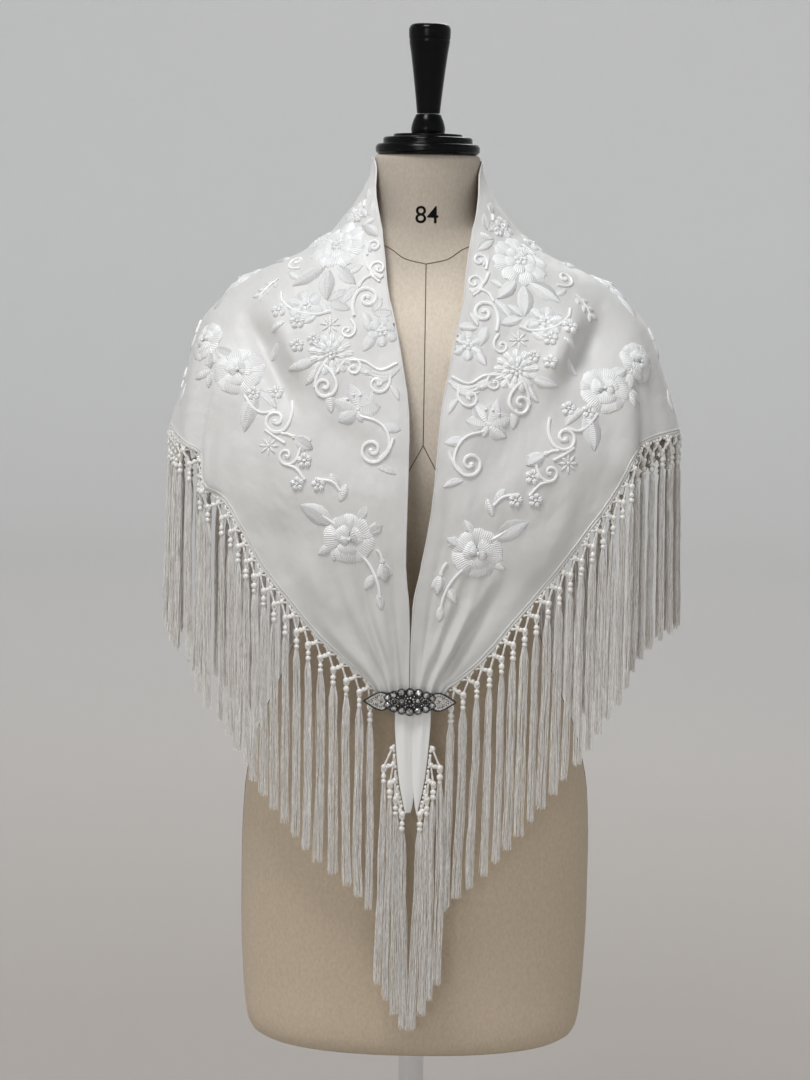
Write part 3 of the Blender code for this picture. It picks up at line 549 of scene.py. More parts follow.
Section = namedtuple("Section", "height half_width front back squareness")
FORM_SECTIONS = rows_of(Section, (
    (0.420, 0.1520, 0.0840, 0.0860, 2.3), (0.425, 0.1590, 0.0900, 0.0925, 2.3),
    (0.438, 0.1635, 0.0940, 0.0970, 2.3), (0.480, 0.1670, 0.0960, 0.1010, 2.2),
    (0.540, 0.1690, 0.0980, 0.1090, 2.2), (0.600, 0.1690, 0.1000, 0.1140, 2.2),
    (0.660, 0.1665, 0.1015, 0.1100, 2.2), (0.720, 0.1540, 0.0980, 0.0970, 2.2),
    (0.780, 0.1290, 0.0880, 0.0840, 2.2), (0.830, 0.1150, 0.0800, 0.0790, 2.2),
    (0.875, 0.1170, 0.0840, 0.0820, 2.2), (0.930, 0.1270, 0.0960, 0.0920, 2.3),
    (0.985, 0.1380, 0.1060, 0.1020, 2.4), (1.040, 0.1500, 0.1020, 0.1085, 2.5),
    (1.080, 0.1690, 0.0930, 0.1080, 2.5), (1.110, 0.1800, 0.0830, 0.1020, 2.4),
    (1.132, 0.1800, 0.0720, 0.0930, 2.3), (1.146, 0.1740, 0.0650, 0.0880, 2.2),
    (1.158, 0.1575, 0.0580, 0.0830, 2.2), (1.168, 0.1365, 0.0530, 0.0785, 2.1),
    (1.178, 0.1125, 0.0490, 0.0735, 2.1), (1.187, 0.0860, 0.0455, 0.0670, 2.0),
    (1.195, 0.0660, 0.0430, 0.0640, 2.0), (1.206, 0.0490, 0.0415, 0.0590, 2.0),
    (1.222, 0.0468, 0.0415, 0.0560, 2.0), (1.246, 0.0485, 0.0430, 0.0530, 2.0),
    (1.271, 0.0500, 0.0450, 0.0510, 2.0),
))
DRAPE_SECTIONS = rows_of(Section, (
    (0.730, 0.1900, 0.1220, 0.1300, 2.4), (0.770, 0.1960, 0.1240, 0.1290, 2.4),
    (0.800, 0.2050, 0.1270, 0.1280, 2.4), (0.840, 0.2180, 0.1310, 0.1265, 2.4),
    (0.880, 0.2290, 0.1345, 0.1250, 2.4), (0.920, 0.2370, 0.1365, 0.1235, 2.4),
    (0.960, 0.2420, 0.1370, 0.1225, 2.4), (1.000, 0.2430, 0.1335, 0.1210, 2.4),
    (1.020, 0.2400, 0.1290, 0.1195, 2.4), (1.040, 0.2345, 0.1235, 0.1175, 2.4),
    (1.060, 0.2285, 0.1165, 0.1150, 2.4), (1.080, 0.2225, 0.1090, 0.1120, 2.4),
    (1.100, 0.2160, 0.1010, 0.1080, 2.35), (1.120, 0.2065, 0.0930, 0.1030, 2.3),
    (1.130, 0.1980, 0.0885, 0.1000, 2.25), (1.140, 0.1870, 0.0840, 0.0965, 2.2),
    (1.150, 0.1730, 0.0790, 0.0930, 2.2), (1.160, 0.1560, 0.0745, 0.0900, 2.2),
    (1.170, 0.1360, 0.0705, 0.0865, 2.2), (1.180, 0.1165, 0.0670, 0.0830, 2.1),
    (1.192, 0.0985, 0.0630, 0.0790, 2.1), (1.200, 0.0880, 0.0605, 0.0770, 2.0),
    (1.212, 0.0785, 0.0580, 0.0730, 2.0), (1.225, 0.0680, 0.0550, 0.0690, 2.0),
    (1.240, 0.0585, 0.0520, 0.0640, 2.0), (1.255, 0.0530, 0.0490, 0.0590, 2.0),
    (1.264, 0.0518, 0.0470, 0.0560, 2.0),
))
print("sections:", len(FORM_SECTIONS), "of the form and", len(DRAPE_SECTIONS), "of the drape")

# %% [markdown]
# Between two rows of a table the value follows a smooth curve that never overshoots. A section is
# a superellipse: an ellipse whose sides are a little fuller, as a padded trunk's are.

# %% Reading the sections
def smooth_through(xs, ys, x):
    """Monotone cubic through the points (xs rising), held level beyond both ends."""
    xs = np.asarray(xs, float)
    ys = np.asarray(ys, float)
    x = np.clip(np.asarray(x, float), xs[0], xs[-1])
    steps = np.diff(xs)
    slopes = np.diff(ys) / steps
    tangents = np.zeros_like(ys)
    same_way = slopes[:-1] * slopes[1:] > 0
    before = 2 * steps[1:] + steps[:-1]
    after = steps[1:] + 2 * steps[:-1]
    safe = np.where(same_way, slopes[:-1], 1.0), np.where(same_way, slopes[1:], 1.0)
    tangents[1:-1] = np.where(
        same_way, (before + after) / (before / safe[0] + after / safe[1]), 0.0
    )
    tangents[0] = slopes[0]
    tangents[-1] = slopes[-1]
    piece = np.clip(np.searchsorted(xs, x, side="right") - 1, 0, len(xs) - 2)
    width = steps[piece]
    t = (x - xs[piece]) / width
    return (
        (2 * t**3 - 3 * t**2 + 1) * ys[piece]
        + (t**3 - 2 * t**2 + t) * width * tangents[piece]
        + (3 * t**2 - 2 * t**3) * ys[piece + 1]
        + (t**3 - t**2) * width * tangents[piece + 1]
    )


def eased(start, end, value):
    """0 at start, 1 at end, with a smooth step between."""
    t = np.clip((value - start) / (end - start), 0.0, 1.0)
    return t * t * (3 - 2 * t)


def section_radius(sections, angle, height):
    """Distance from the axis of a superellipse that is read from the table at that height."""
    heights = [row.height for row in sections]
    read = {
        column: smooth_through(heights, [getattr(row, column) for row in sections], height)
        for column in ("half_width", "front", "back", "squareness")
    }
    across = np.abs(np.sin(angle))
    along = np.cos(angle)
    depth = np.where(along > 0, read["front"], read["back"])
    power = read["squareness"]
    return (
        (across / read["half_width"]) ** power + (np.abs(along) / depth) ** power
    ) ** (-1 / power)


def form_radius(angle, height):
    """The trunk's surface: its section with the bust worked on."""
    degrees = np.abs(np.degrees(angle))
    bust = np.exp(
        -(((degrees - BUST_ANGLE) / BUST_WIDTH) ** 2) - ((height - BUST_HEIGHT) / BUST_SPREAD) ** 2
    )
    return section_radius(FORM_SECTIONS, angle, height) + BUST_RISE * bust


def placed(radius, angle, height):
    """Points round the axis, one row each."""
    return np.stack([radius * np.sin(angle), -radius * np.cos(angle), height + 0 * angle], -1)


def lengths_along(points):
    """Running length of a line of points, from 0."""
    steps = np.linalg.norm(np.diff(points, axis=0), axis=1)
    return np.concatenate([[0.0], np.cumsum(steps)])


print("bust:", round(float(form_radius(math.radians(BUST_ANGLE), BUST_HEIGHT)), 3), "m from the axis")

# %% [markdown]
# The form's cover is one grid wrapped round the trunk and welded where its two sides meet, with
# its rings evenly spaced along the side. A real cover is cut in panels: a thin dark seam runs
# round the neck, one runs down the centre front and parts into two darts below the bust, and
# others run down the sides and the back. The seams are fine cords half sunk in the canvas.

# %% Dress form
FORM_RINGS = 130
FORM_AROUND = 120
SIDE_MEASURES = 600
NECK_ROUNDING = 0.0045
SEAM_RADIUS = 0.00045
SEAM_PROUD = 0.0001
SEAM_STEPS = 24
SeamPoint = namedtuple("SeamPoint", "angle height")
FRONT_SEAM = ((0, 1.1705), (0, 1.090), (0, 1.0075))
BACK_SEAM = ((180, 1.208), (180, 1.000), (180, 0.830), (180, 0.423))
DART = ((0, 1.0075), (9, 0.975), (20, 0.925), (30, 0.880))
SIDE_SEAM = ((90, 1.165), (91, 1.000), (90, 0.830), (90, 0.423))
NECK_SEAM = ((0, 1.1705), (20, 1.1745), (42, 1.186), (90, 1.196), (140, 1.205), (180, 1.208))
SEAMS = (
    (FRONT_SEAM, 1), (DART, -1), (DART, 1), (SIDE_SEAM, -1), (SIDE_SEAM, 1), (BACK_SEAM, 1),
    (NECK_SEAM, 1), (NECK_SEAM, -1),
)


def grid_through(points, layer):
    """A grid of quads through the points, with a UV map that runs from 0 to 1 both ways."""
    columns, rows = points.shape[0] - 1, points.shape[1] - 1
    mesh_data = bmesh.new()
    mesh_data.loops.layers.uv.new(layer)
    bmesh.ops.create_grid(mesh_data, x_segments=columns, y_segments=rows, size=1.0, calc_uvs=True)
    for vert in mesh_data.verts:
        column = round((vert.co.x + 1) / 2 * columns)
        row = round((vert.co.y + 1) / 2 * rows)
        vert.co = Vector(points[column, row])
    return mesh_data


def make_form():
    """The padded trunk and neck, closed flat at both ends, with a rounded rim under the cap."""
    fine = np.linspace(TRUNK_BOTTOM, NECK_TOP, SIDE_MEASURES)
    side = placed(form_radius(np.full_like(fine, math.pi / 2), fine), math.pi / 2, fine)
    run = lengths_along(side)
    heights = np.interp(np.linspace(0, run[-1], FORM_RINGS), run, fine)
    angles, heights = np.meshgrid(np.linspace(-math.pi, math.pi, FORM_AROUND + 1), heights, indexing="ij")
    mesh_data = grid_through(placed(form_radius(angles, heights), angles, heights), "weave")
    bmesh.ops.remove_doubles(mesh_data, verts=mesh_data.verts, dist=MERGE_DISTANCE)
    rims = [edge for edge in mesh_data.edges if edge.is_boundary]
    bottom_rim = [edge for edge in rims if edge.verts[0].co.z < BUST_HEIGHT]
    top_rim = [edge for edge in rims if edge.verts[0].co.z > BUST_HEIGHT]
    for rim in (bottom_rim, top_rim):
        bmesh.ops.edgeloop_fill(mesh_data, edges=rim)
    bevelled(mesh_data, top_rim, NECK_ROUNDING, 3)
    bmesh.ops.recalc_face_normals(mesh_data, faces=mesh_data.faces)
    return piece_from("form_cover", mesh_data, [canvas], ["form_trunk"])


def seam_line(seam, side):
    """A smooth line on the trunk through a seam's points, or through their mirror image."""
    points = rows_of(SeamPoint, seam)
    share = np.linspace(0, len(points) - 1, SEAM_STEPS * len(points))
    indices = np.arange(len(points))
    angle = np.radians(smooth_through(indices, [side * point.angle for point in points], share))
    height = smooth_through(indices, [point.height for point in points], share)
    return Line(placed(form_radius(angle, height) + SEAM_PROUD, angle, height), SEAM_RADIUS)


form_cover = make_form()
seam_lines = [seam_line(seam, side) for seam, side in SEAMS]
ready("form_seams", corded(seam_lines, 1), [seam_thread])

# %% [markdown]
# Forms carry their plain size number on the neck. It is a text object that is turned into a mesh
# and wrapped: each point keeps its height and moves round the neck by its distance from the
# middle, a little proud of the canvas.

# %% Size number
NUMBER = "84"
NUMBER_SIZE = 0.0225
NUMBER_HEIGHT = 1.2080
NUMBER_PROUD = 0.00015
NUMBER_BOLDNESS = 0.00012
NUMBER_ROUNDNESS = 6


def make_number():
    """The size number, wrapped round the front of the neck."""
    text = bpy.data.curves.new("size_number", "FONT")
    text.body = NUMBER
    text.size = NUMBER_SIZE
    text.align_x = "CENTER"
    text.offset = NUMBER_BOLDNESS
    text.resolution_u = NUMBER_ROUNDNESS
    mesh_data = bmesh.new()
    mesh_data.from_mesh(mesh_of(text))
    bmesh.ops.triangulate(mesh_data, faces=mesh_data.faces)
    bmesh.ops.subdivide_edges(mesh_data, edges=mesh_data.edges, cuts=2, use_grid_fill=True)
    for vert in mesh_data.verts:
        height = NUMBER_HEIGHT + vert.co.y
        angle = vert.co.x / float(form_radius(0.0, height))
        radius = float(form_radius(angle, height)) + NUMBER_PROUD
        vert.co = Vector(placed(radius, angle, height))
    return piece_from("size_number", mesh_data, [number_print])


make_number()

# %% [markdown]
# Cap, handle, hub and pole are turned on a lathe, so each is half an outline spun round the axis.
# A small bevel on the finished rims catches the light, which a mathematically sharp edge cannot.
# The handle's outline is smoothed first, because turned wood has no corners along its length.

# %% Turned pieces
GAP = 0.0004
POLE_RADIUS = 0.0125
RIM_BEVEL = 0.0006
RIM_ANGLE = 25.0
BASE_STEPS = 160
HANDLE_RINGS = 60
FOOT_RINGS = 14
GROOVE_RISE = 0.0865
GROOVE_HALF = 0.0004
GROOVE_DEPTH = 0.0005
ProfilePoint = namedtuple("ProfilePoint", "radius rise")
BASE_PROFILE = rows_of(ProfilePoint, (
    (0.1885, 0.0000), (0.1900, 0.0020), (0.1900, 0.0052), (0.1890, 0.0070), (0.1865, 0.0080),
    (0.0600, 0.0080),
))
HUB_PROFILE = rows_of(ProfilePoint, (
    (0.0340, 0.0000), (0.0320, 0.0060), (0.0197, 0.0140), (0.0184, 0.0450),
))
SOCKET_PROFILE = rows_of(ProfilePoint, ((0.0320, 0.0000), (0.0340, 0.0020), (0.0340, 0.0080)))
CAP_PROFILE = rows_of(ProfilePoint, (
    (0.0465, 0.0000), (0.0490, 0.0025), (0.0490, 0.0070), (0.0470, 0.0095), (0.0420, 0.0100),
    (0.0420, 0.0145), (0.0405, 0.0160), (0.0325, 0.0165), (0.0320, 0.0190),
))
HANDLE_FOOT = rows_of(ProfilePoint, (
    (0.0155, 0.0000), (0.0160, 0.0040), (0.0145, 0.0110), (0.0115, 0.0180),
))
HANDLE_PROFILE = rows_of(ProfilePoint, (
    (0.0108, 0.0186), (0.0125, 0.0350), (0.0170, 0.0720), (0.0193, 0.0880), (0.0196, 0.0950),
    (0.0180, 0.0995), (0.0130, 0.1015), (0.0060, 0.1020),
))


def smoothed(profile, count):
    """More points along a profile, on a smooth curve through its own."""
    rises = np.linspace(profile[0].rise, profile[-1].rise, count)
    radii = smooth_through([p.rise for p in profile], [p.radius for p in profile], rises)
    return list(rows_of(ProfilePoint, zip(radii, rises)))


def turned(name, profile, foot, made_of, stands_for, steps=96):
    """A piece turned from its profile, closed to the axis, with its rims softly bevelled."""
    line = [(0.0, 0.0, foot + profile[0].rise)]
    line += [(point.radius, 0.0, foot + point.rise) for point in profile]
    line.append((0.0, 0.0, foot + profile[-1].rise))
    mesh_data = bmesh.new()
    spun(mesh_data, line, steps)
    bmesh.ops.recalc_face_normals(mesh_data, faces=mesh_data.faces)
    piece = piece_from(name, mesh_data, [made_of], [stands_for])
    bevel = piece.modifiers.new("Rims", "BEVEL")
    bevel.width = RIM_BEVEL
    bevel.segments = 2
    bevel.limit_method = "ANGLE"
    bevel.angle_limit = math.radians(RIM_ANGLE)
    return piece


def grooved(profile):
    """The profile with a fine groove cut into it."""
    points = [point for point in profile if abs(point.rise - GROOVE_RISE) > GROOVE_HALF]
    place = sum(point.rise < GROOVE_RISE for point in points)
    points.insert(place, ProfilePoint(points[place].radius - GROOVE_DEPTH, GROOVE_RISE))
    return points


hub_foot = BASE_PROFILE[-1].rise + GAP
socket_foot = TRUNK_BOTTOM - GAP - SOCKET_PROFILE[-1].rise
pole_foot = hub_foot + HUB_PROFILE[-1].rise + GAP
cap_foot = NECK_TOP + GAP
handle_foot = cap_foot + CAP_PROFILE[-1].rise + GAP
pole_profile = rows_of(ProfilePoint, ((POLE_RADIUS, 0.0), (POLE_RADIUS, socket_foot - GAP - pole_foot)))
handle = grooved(smoothed(HANDLE_PROFILE, HANDLE_RINGS))
turned("stand_plate", BASE_PROFILE, 0.0, iron, "base_plate", BASE_STEPS)
turned("stand_hub", HUB_PROFILE, hub_foot, iron, "base_hub")
turned("stand_pole", pole_profile, pole_foot, chrome, "pole")
turned("stand_socket", SOCKET_PROFILE, socket_foot, iron, "pole_socket")
turned("form_cap", CAP_PROFILE, cap_foot, lacquer, "neck_cap")
turned("handle_foot", smoothed(HANDLE_FOOT, FOOT_RINGS), handle_foot, lacquer, "finial")
turned("form_handle", handle, handle_foot, lacquer, "finial")

# %% [markdown]
# The cloth's space is a second set of sections, and the cloth covers the part of it between two
# lines: the long side of the triangle, round the neck and down the front, and the fringed hem.
# Straight rulings join the two, evenly spaced along the hem. The largest folds come from the fixed
# model, and finer creases are added here, because silk crepe shows both.

# %% Tables of the cloth
SWAY = -0.0085
SWAY_TOP = 1.04
SWAY_END = 0.86
CLEARANCE = 0.0020
CLEARANCE_BLEND = 0.0005
HEM_MEASURES = 1200
RULING_MEASURES = 160

Station = namedtuple("Station", "edge_angle edge_height hem_angle hem_height")
BACK_STATIONS = rows_of(Station, (
    (180.0, 1.258, 180.0, 0.730), (158.0, 1.259, 157.0, 0.782), (136.0, 1.261, 137.0, 0.848),
    (118.0, 1.264, 120.0, 0.920), (104.0, 1.266, 105.0, 0.985),
))
LEFT_STATIONS = rows_of(Station, (
    (90.0, 1.267, 93.5, 1.011), (76.0, 1.266, 87.0, 1.012), (61.5, 1.243, 79.5, 1.009),
    (44.0, 1.215, 72.0, 1.004), (32.0, 1.183, 66.8, 0.994), (24.0, 1.148, 64.8, 0.970),
    (17.0, 1.120, 60.0, 0.953), (10.5, 1.080, 55.3, 0.929), (6.5, 1.040, 49.5, 0.893),
    (5.2, 0.998, 43.0, 0.865), (4.0, 0.948, 36.0, 0.838), (2.9, 0.900, 29.0, 0.818),
    (1.0, 0.862, 22.5, 0.803), (0.5, 0.825, 17.5, 0.793), (0.5, 0.797, 14.6, 0.7853),
    (0.5, CLOTH_END, 12.8, CLOTH_END),
))
RIGHT_STATIONS = rows_of(Station, (
    (90.0, 1.265, 93.5, 1.013), (76.0, 1.259, 87.0, 1.016), (60.0, 1.241, 79.5, 1.017),
    (42.0, 1.208, 72.0, 1.015), (31.0, 1.178, 66.8, 1.008), (23.0, 1.141, 63.2, 0.995),
    (16.0, 1.106, 60.5, 0.971), (11.0, 1.071, 56.0, 0.942), (7.2, 1.035, 50.5, 0.912),
    (6.0, 0.995, 44.5, 0.880), (5.4, 0.950, 38.0, 0.852), (3.3, 0.900, 31.5, 0.826),
    (1.0, 0.862, 25.0, 0.8055), (0.5, 0.825, 19.5, 0.7935), (0.5, 0.797, 15.5, 0.7865),
    (0.5, CLOTH_END, 13.5, CLOTH_END),
))

Fold = namedtuple("Fold", "angle height end_angle end_height width end_width rise held")
FOLDS = rows_of(Fold, (
    (-79.0, 1.152, -38.0, 1.022, 0.013, 0.019, -0.0080, 0),
    (-46.0, 1.044, -5.0, 0.968, 0.015, 0.022, -0.0060, 0),
    (-69.0, 1.152, -33.0, 1.040, 0.013, 0.019, 0.0070, 0),
    (-74.0, 1.110, -65.6, 0.972, 0.014, 0.014, 0.0075, 1),
    (-64.0, 1.060, -58.5, 0.950, 0.014, 0.014, -0.0030, 1),
    (-88.0, 1.090, -82.0, 1.009, 0.015, 0.016, -0.0045, 1),
    (-38.0, 0.868, -11.5, 0.783, 0.010, 0.004, 0.0042, 1),
    (-25.0, 0.890, -7.8, 0.783, 0.009, 0.003, 0.0040, 1),
    (-15.5, 0.872, -4.8, 0.783, 0.007, 0.003, 0.0036, 1),
    (-20.0, 0.880, -6.4, 0.783, 0.006, 0.003, -0.0025, 1),
    (-46.0, 0.930, -26.0, 0.835, 0.014, 0.012, 0.0045, 0),
    (-52.0, 0.960, -34.0, 0.850, 0.014, 0.012, -0.0035, 0),
    (79.0, 1.150, 50.0, 1.050, 0.013, 0.018, -0.0080, 0),
    (56.0, 1.074, 12.0, 0.958, 0.015, 0.024, -0.0065, 0),
    (67.0, 1.150, 38.0, 1.044, 0.013, 0.019, 0.0070, 0),
    (69.0, 1.100, 62.6, 0.990, 0.014, 0.014, 0.0060, 1),
    (78.0, 1.090, 72.5, 1.013, 0.014, 0.015, -0.0050, 1),
    (89.0, 1.090, 86.0, 1.016, 0.015, 0.016, 0.0035, 1),
    (31.0, 0.905, 8.6, 0.783, 0.011, 0.004, 0.0062, 1),
    (38.0, 0.915, 12.6, 0.785, 0.010, 0.005, -0.0055, 1),
    (14.0, 0.850, 3.2, 0.783, 0.007, 0.003, 0.0036, 1),
    (20.0, 0.880, 5.6, 0.783, 0.007, 0.003, -0.0032, 1),
    (50.0, 0.960, 30.0, 0.850, 0.014, 0.012, 0.0035, 0),
    (112.0, 1.110, 114.0, 0.940, 0.018, 0.024, 0.0060, 1),
    (130.0, 1.090, 131.0, 0.860, 0.020, 0.026, -0.0055, 1),
    (146.0, 1.100, 147.0, 0.810, 0.020, 0.028, 0.0060, 1),
    (165.0, 1.070, 163.0, 0.760, 0.020, 0.026, -0.0050, 1),
    (-112.0, 1.110, -114.0, 0.940, 0.018, 0.024, 0.0055, 1),
    (-128.0, 1.090, -130.0, 0.860, 0.020, 0.026, -0.0060, 1),
    (-149.0, 1.100, -147.0, 0.810, 0.020, 0.028, 0.0055, 1),
    (-166.0, 1.070, -165.0, 0.760, 0.020, 0.026, -0.0045, 1),
    (180.0, 1.110, 180.0, 0.745, 0.022, 0.030, 0.0050, 1),
))

# Fine creases, added to the folds above
CREASES = rows_of(Fold, (
    (-77.5, 1.150, -41.0, 1.022, 0.0038, 0.0065, -0.0062, 0),
    (-72.0, 1.152, -38.0, 1.042, 0.0045, 0.0080, 0.0045, 0),
    (-70.8, 1.090, -66.0, 0.972, 0.0034, 0.0042, -0.0065, 1),
    (-67.6, 1.090, -62.8, 0.966, 0.0032, 0.0040, 0.0046, 1),
    (-55.0, 1.120, -30.0, 1.000, 0.0060, 0.0100, -0.0022, 0),
    (77.0, 1.148, 47.0, 1.050, 0.0050, 0.0080, -0.0056, 0),
    (70.0, 1.150, 40.0, 1.045, 0.0055, 0.0090, 0.0048, 0),
    (73.0, 1.090, 66.0, 0.995, 0.0045, 0.0050, -0.0056, 1),
    (54.0, 1.120, 28.0, 0.995, 0.0060, 0.0100, -0.0022, 0),
    (-74.0, 1.132, -52.0, 1.078, 0.006, 0.009, -0.0016, 0),
    (-60.0, 1.100, -36.0, 1.050, 0.005, 0.008, 0.0014, 0),
    (-34.0, 1.080, -14.0, 1.020, 0.006, 0.010, -0.0014, 0),
    (-80.0, 1.100, -72.0, 1.000, 0.005, 0.008, 0.0018, 1),
    (-60.0, 1.040, -53.0, 0.940, 0.006, 0.008, 0.0018, 1),
    (-51.0, 1.000, -44.0, 0.890, 0.007, 0.008, -0.0014, 1),
    (-34.0, 0.950, -13.5, 0.790, 0.007, 0.003, 0.0018, 1),
    (-27.0, 0.960, -9.8, 0.790, 0.006, 0.003, -0.0016, 1),
    (-18.0, 0.960, -6.0, 0.790, 0.006, 0.003, 0.0015, 1),
    (-9.0, 0.930, -3.2, 0.790, 0.005, 0.002, -0.0014, 1),
    (-42.0, 0.930, -22.0, 0.822, 0.008, 0.006, 0.0015, 0),
    (-30.0, 0.850, -18.0, 0.800, 0.005, 0.003, -0.0012, 0),
    (74.0, 1.130, 50.0, 1.070, 0.006, 0.009, -0.0016, 0),
    (58.0, 1.100, 34.0, 1.050, 0.005, 0.008, 0.0015, 0),
    (34.0, 1.080, 13.0, 1.015, 0.006, 0.010, -0.0015, 0),
    (82.0, 1.100, 77.0, 1.010, 0.005, 0.008, 0.0018, 1),
    (61.0, 1.040, 55.0, 0.960, 0.006, 0.008, -0.0016, 1),
    (51.0, 1.000, 44.0, 0.900, 0.007, 0.008, 0.0015, 1),
    (35.0, 0.960, 14.5, 0.790, 0.007, 0.003, -0.0018, 1),
    (24.0, 0.950, 7.2, 0.790, 0.006, 0.003, 0.0018, 1),
    (11.0, 0.940, 4.2, 0.790, 0.005, 0.002, -0.0014, 1),
    (44.0, 0.930, 25.0, 0.822, 0.008, 0.006, -0.0014, 0),
    (104.0, 1.130, 106.0, 1.000, 0.007, 0.010, -0.0020, 1),
    (121.0, 1.120, 123.0, 0.920, 0.007, 0.011, 0.0020, 1),
    (138.0, 1.130, 139.0, 0.860, 0.008, 0.012, 0.0018, 1),
    (155.0, 1.120, 155.0, 0.800, 0.008, 0.012, -0.0020, 1),
    (172.0, 1.130, 172.0, 0.760, 0.008, 0.012, 0.0020, 1),
    (-103.0, 1.130, -105.0, 1.000, 0.007, 0.010, 0.0020, 1),
    (-120.0, 1.120, -122.0, 0.920, 0.007, 0.011, -0.0018, 1),
    (-139.0, 1.130, -139.0, 0.860, 0.008, 0.012, 0.0018, 1),
    (-157.0, 1.120, -156.0, 0.800, 0.008, 0.012, -0.0020, 1),
    (-173.0, 1.130, -173.0, 0.760, 0.008, 0.012, -0.0016, 1),
))
FOLD_REACH = 0.16
FOLD_RISING = 0.45
PRESSED_ANGLE = 1.0
PRESSED_FROM = 0.820
PRESSED_TO = 0.792
PRESSED_BY = 0.6
PLEAT_COUNT = 3.5
PLEAT_DEPTH = 0.0014
PLEAT_START = 0.850
print("folds:", len(FOLDS), "and fine creases:", len(CREASES))

# %% [markdown]
# A fold is a soft ridge or trough along a line on the surface: it fades in at its start, and it
# dies away at its end unless something holds it there, such as the brooch or the hem. All of them
# together lift the surface along its normal, and wherever the result would come too near the
# trunk it is pushed back out, so the cloth lies on the shoulders and the bust.

# %% Draping
def fold_rise(angle, height):
    """How far the folds and creases lift the cloth at these points."""
    rise = np.zeros(np.broadcast(angle, height).shape)
    for fold in FOLDS + CREASES:
        start = math.radians(fold.angle) * FOLD_REACH, fold.height
        run = math.radians(fold.end_angle - fold.angle) * FOLD_REACH, fold.end_height - fold.height
        away = angle * FOLD_REACH - start[0]
        if abs(fold.angle) == 180.0:
            away = (np.abs(angle) - math.pi) * FOLD_REACH
        drop = height - start[1]
        length = math.hypot(*run)
        along = np.clip((away * run[0] + drop * run[1]) / length**2, 0.0, 1.0)
        off = np.hypot(away - along * run[0], drop - along * run[1])
        width = fold.width + (fold.end_width - fold.width) * along
        fade = eased(0.0, FOLD_RISING, along)
        if not fold.held:
            fade = fade * eased(1.0, 1.0 - FOLD_RISING, along)
        rise = rise + fold.rise * fade * np.exp(-((off / width) ** 2))
    in_front = np.abs(angle) < PRESSED_ANGLE
    return rise * (1 - PRESSED_BY * in_front * eased(PRESSED_FROM, PRESSED_TO, height))


def clear_of_form(points):
    """Moves points out from the axis where they would come too near the trunk."""
    radius = np.hypot(points[..., 0], points[..., 1])
    angle = np.arctan2(points[..., 0], -points[..., 1])
    height = points[..., 2]
    step = MEASURE_STEP
    slope = (form_radius(angle, height + step) - form_radius(angle, height - step)) / (2 * step)
    nearest = form_radius(angle, height) + CLEARANCE * np.sqrt(1 + slope**2)
    apart = np.abs(radius - nearest) / CLEARANCE_BLEND
    wanted = np.maximum(radius, nearest) + CLEARANCE_BLEND * np.log1p(np.exp(-apart))
    points[..., :2] *= (wanted / radius)[..., None]
    return points


def drape_surface(angle, height):
    """The cloth's outer face without its folds."""
    points = placed(section_radius(DRAPE_SECTIONS, angle, height), angle, height)
    points[..., 0] += SWAY * eased(SWAY_TOP, SWAY_END, height) * eased(math.pi, 0.0, np.abs(angle))
    return points


def drape_points(angle, height, extra=0.0):
    """The cloth's outer face with its folds, and its outward normals."""
    step = MEASURE_STEP
    around = drape_surface(angle + step, height) - drape_surface(angle - step, height)
    upward = drape_surface(angle, height + step) - drape_surface(angle, height - step)
    normals = np.cross(around, upward)
    normals /= np.linalg.norm(normals, axis=-1, keepdims=True)
    lift = fold_rise(angle, height) + extra
    return clear_of_form(drape_surface(angle, height) + normals * lift[..., None]), normals


def station_at(stations, position):
    """Edge and hem of the ruling at a position between stations: angles in radians, heights."""
    indices = np.arange(len(stations))
    columns = [
        smooth_through(indices, [getattr(row, column) for row in stations], position)
        for column in Station._fields
    ]
    return np.radians(columns[0]), columns[1], np.radians(columns[2]), columns[3]


def column_positions(stations, count):
    """Station positions that space the hem evenly."""
    fine = np.linspace(0, len(stations) - 1, HEM_MEASURES)
    _, _, angle, height = station_at(stations, fine)
    run = lengths_along(drape_surface(angle, height))
    return np.interp(np.linspace(0, run[-1], count + 1), run, fine)


def ruling(stations, position, side, rows):
    """Angles and heights along one ruling, spaced evenly from the neck edge to the hem."""
    edge_angle, edge_height, hem_angle, hem_height = station_at(stations, position)
    share = np.linspace(0, 1, RULING_MEASURES)
    angle = side * (edge_angle + (hem_angle - edge_angle) * share)
    height = edge_height + (hem_height - edge_height) * share
    run = lengths_along(drape_surface(angle, height))
    even = np.interp(np.linspace(0, run[-1], rows + 1), run, share)
    return np.interp(even, share, angle), np.interp(even, share, height)


def cloth_grid(columns_a_side, rows):
    """The cloth's outer points as [column, row], from the brooch's left round the back to its
    right, and the normals there."""
    left = BACK_STATIONS + LEFT_STATIONS
    right = BACK_STATIONS + RIGHT_STATIONS
    rulings = [ruling(left, p, -1, rows) for p in column_positions(left, columns_a_side)[::-1]]
    rulings += [ruling(right, p, 1, rows) for p in column_positions(right, columns_a_side)[1:]]
    angles = np.array([angle for angle, _ in rulings])
    heights = np.array([height for _, height in rulings])
    share = np.linspace(0, 1, rows + 1)[None, :]
    near = eased(PLEAT_START, CLOTH_END, heights) * (np.abs(angles) < PRESSED_ANGLE)
    pleats = PLEAT_DEPTH * near * np.cos(2 * math.pi * PLEAT_COUNT * share)
    return drape_points(angles, heights, pleats)


print("the drape is ready")

# %% [markdown]
# Now the cloth itself: one fine grid through those points, with a little unevenness added that no
# table can give, and a wall of one millimetre put on by Solidify. Both edges are rolled and sewn
# by hand on the real shawl, so a thin uneven cord runs along each, and a row of hem stitches
# beside the fringed one.

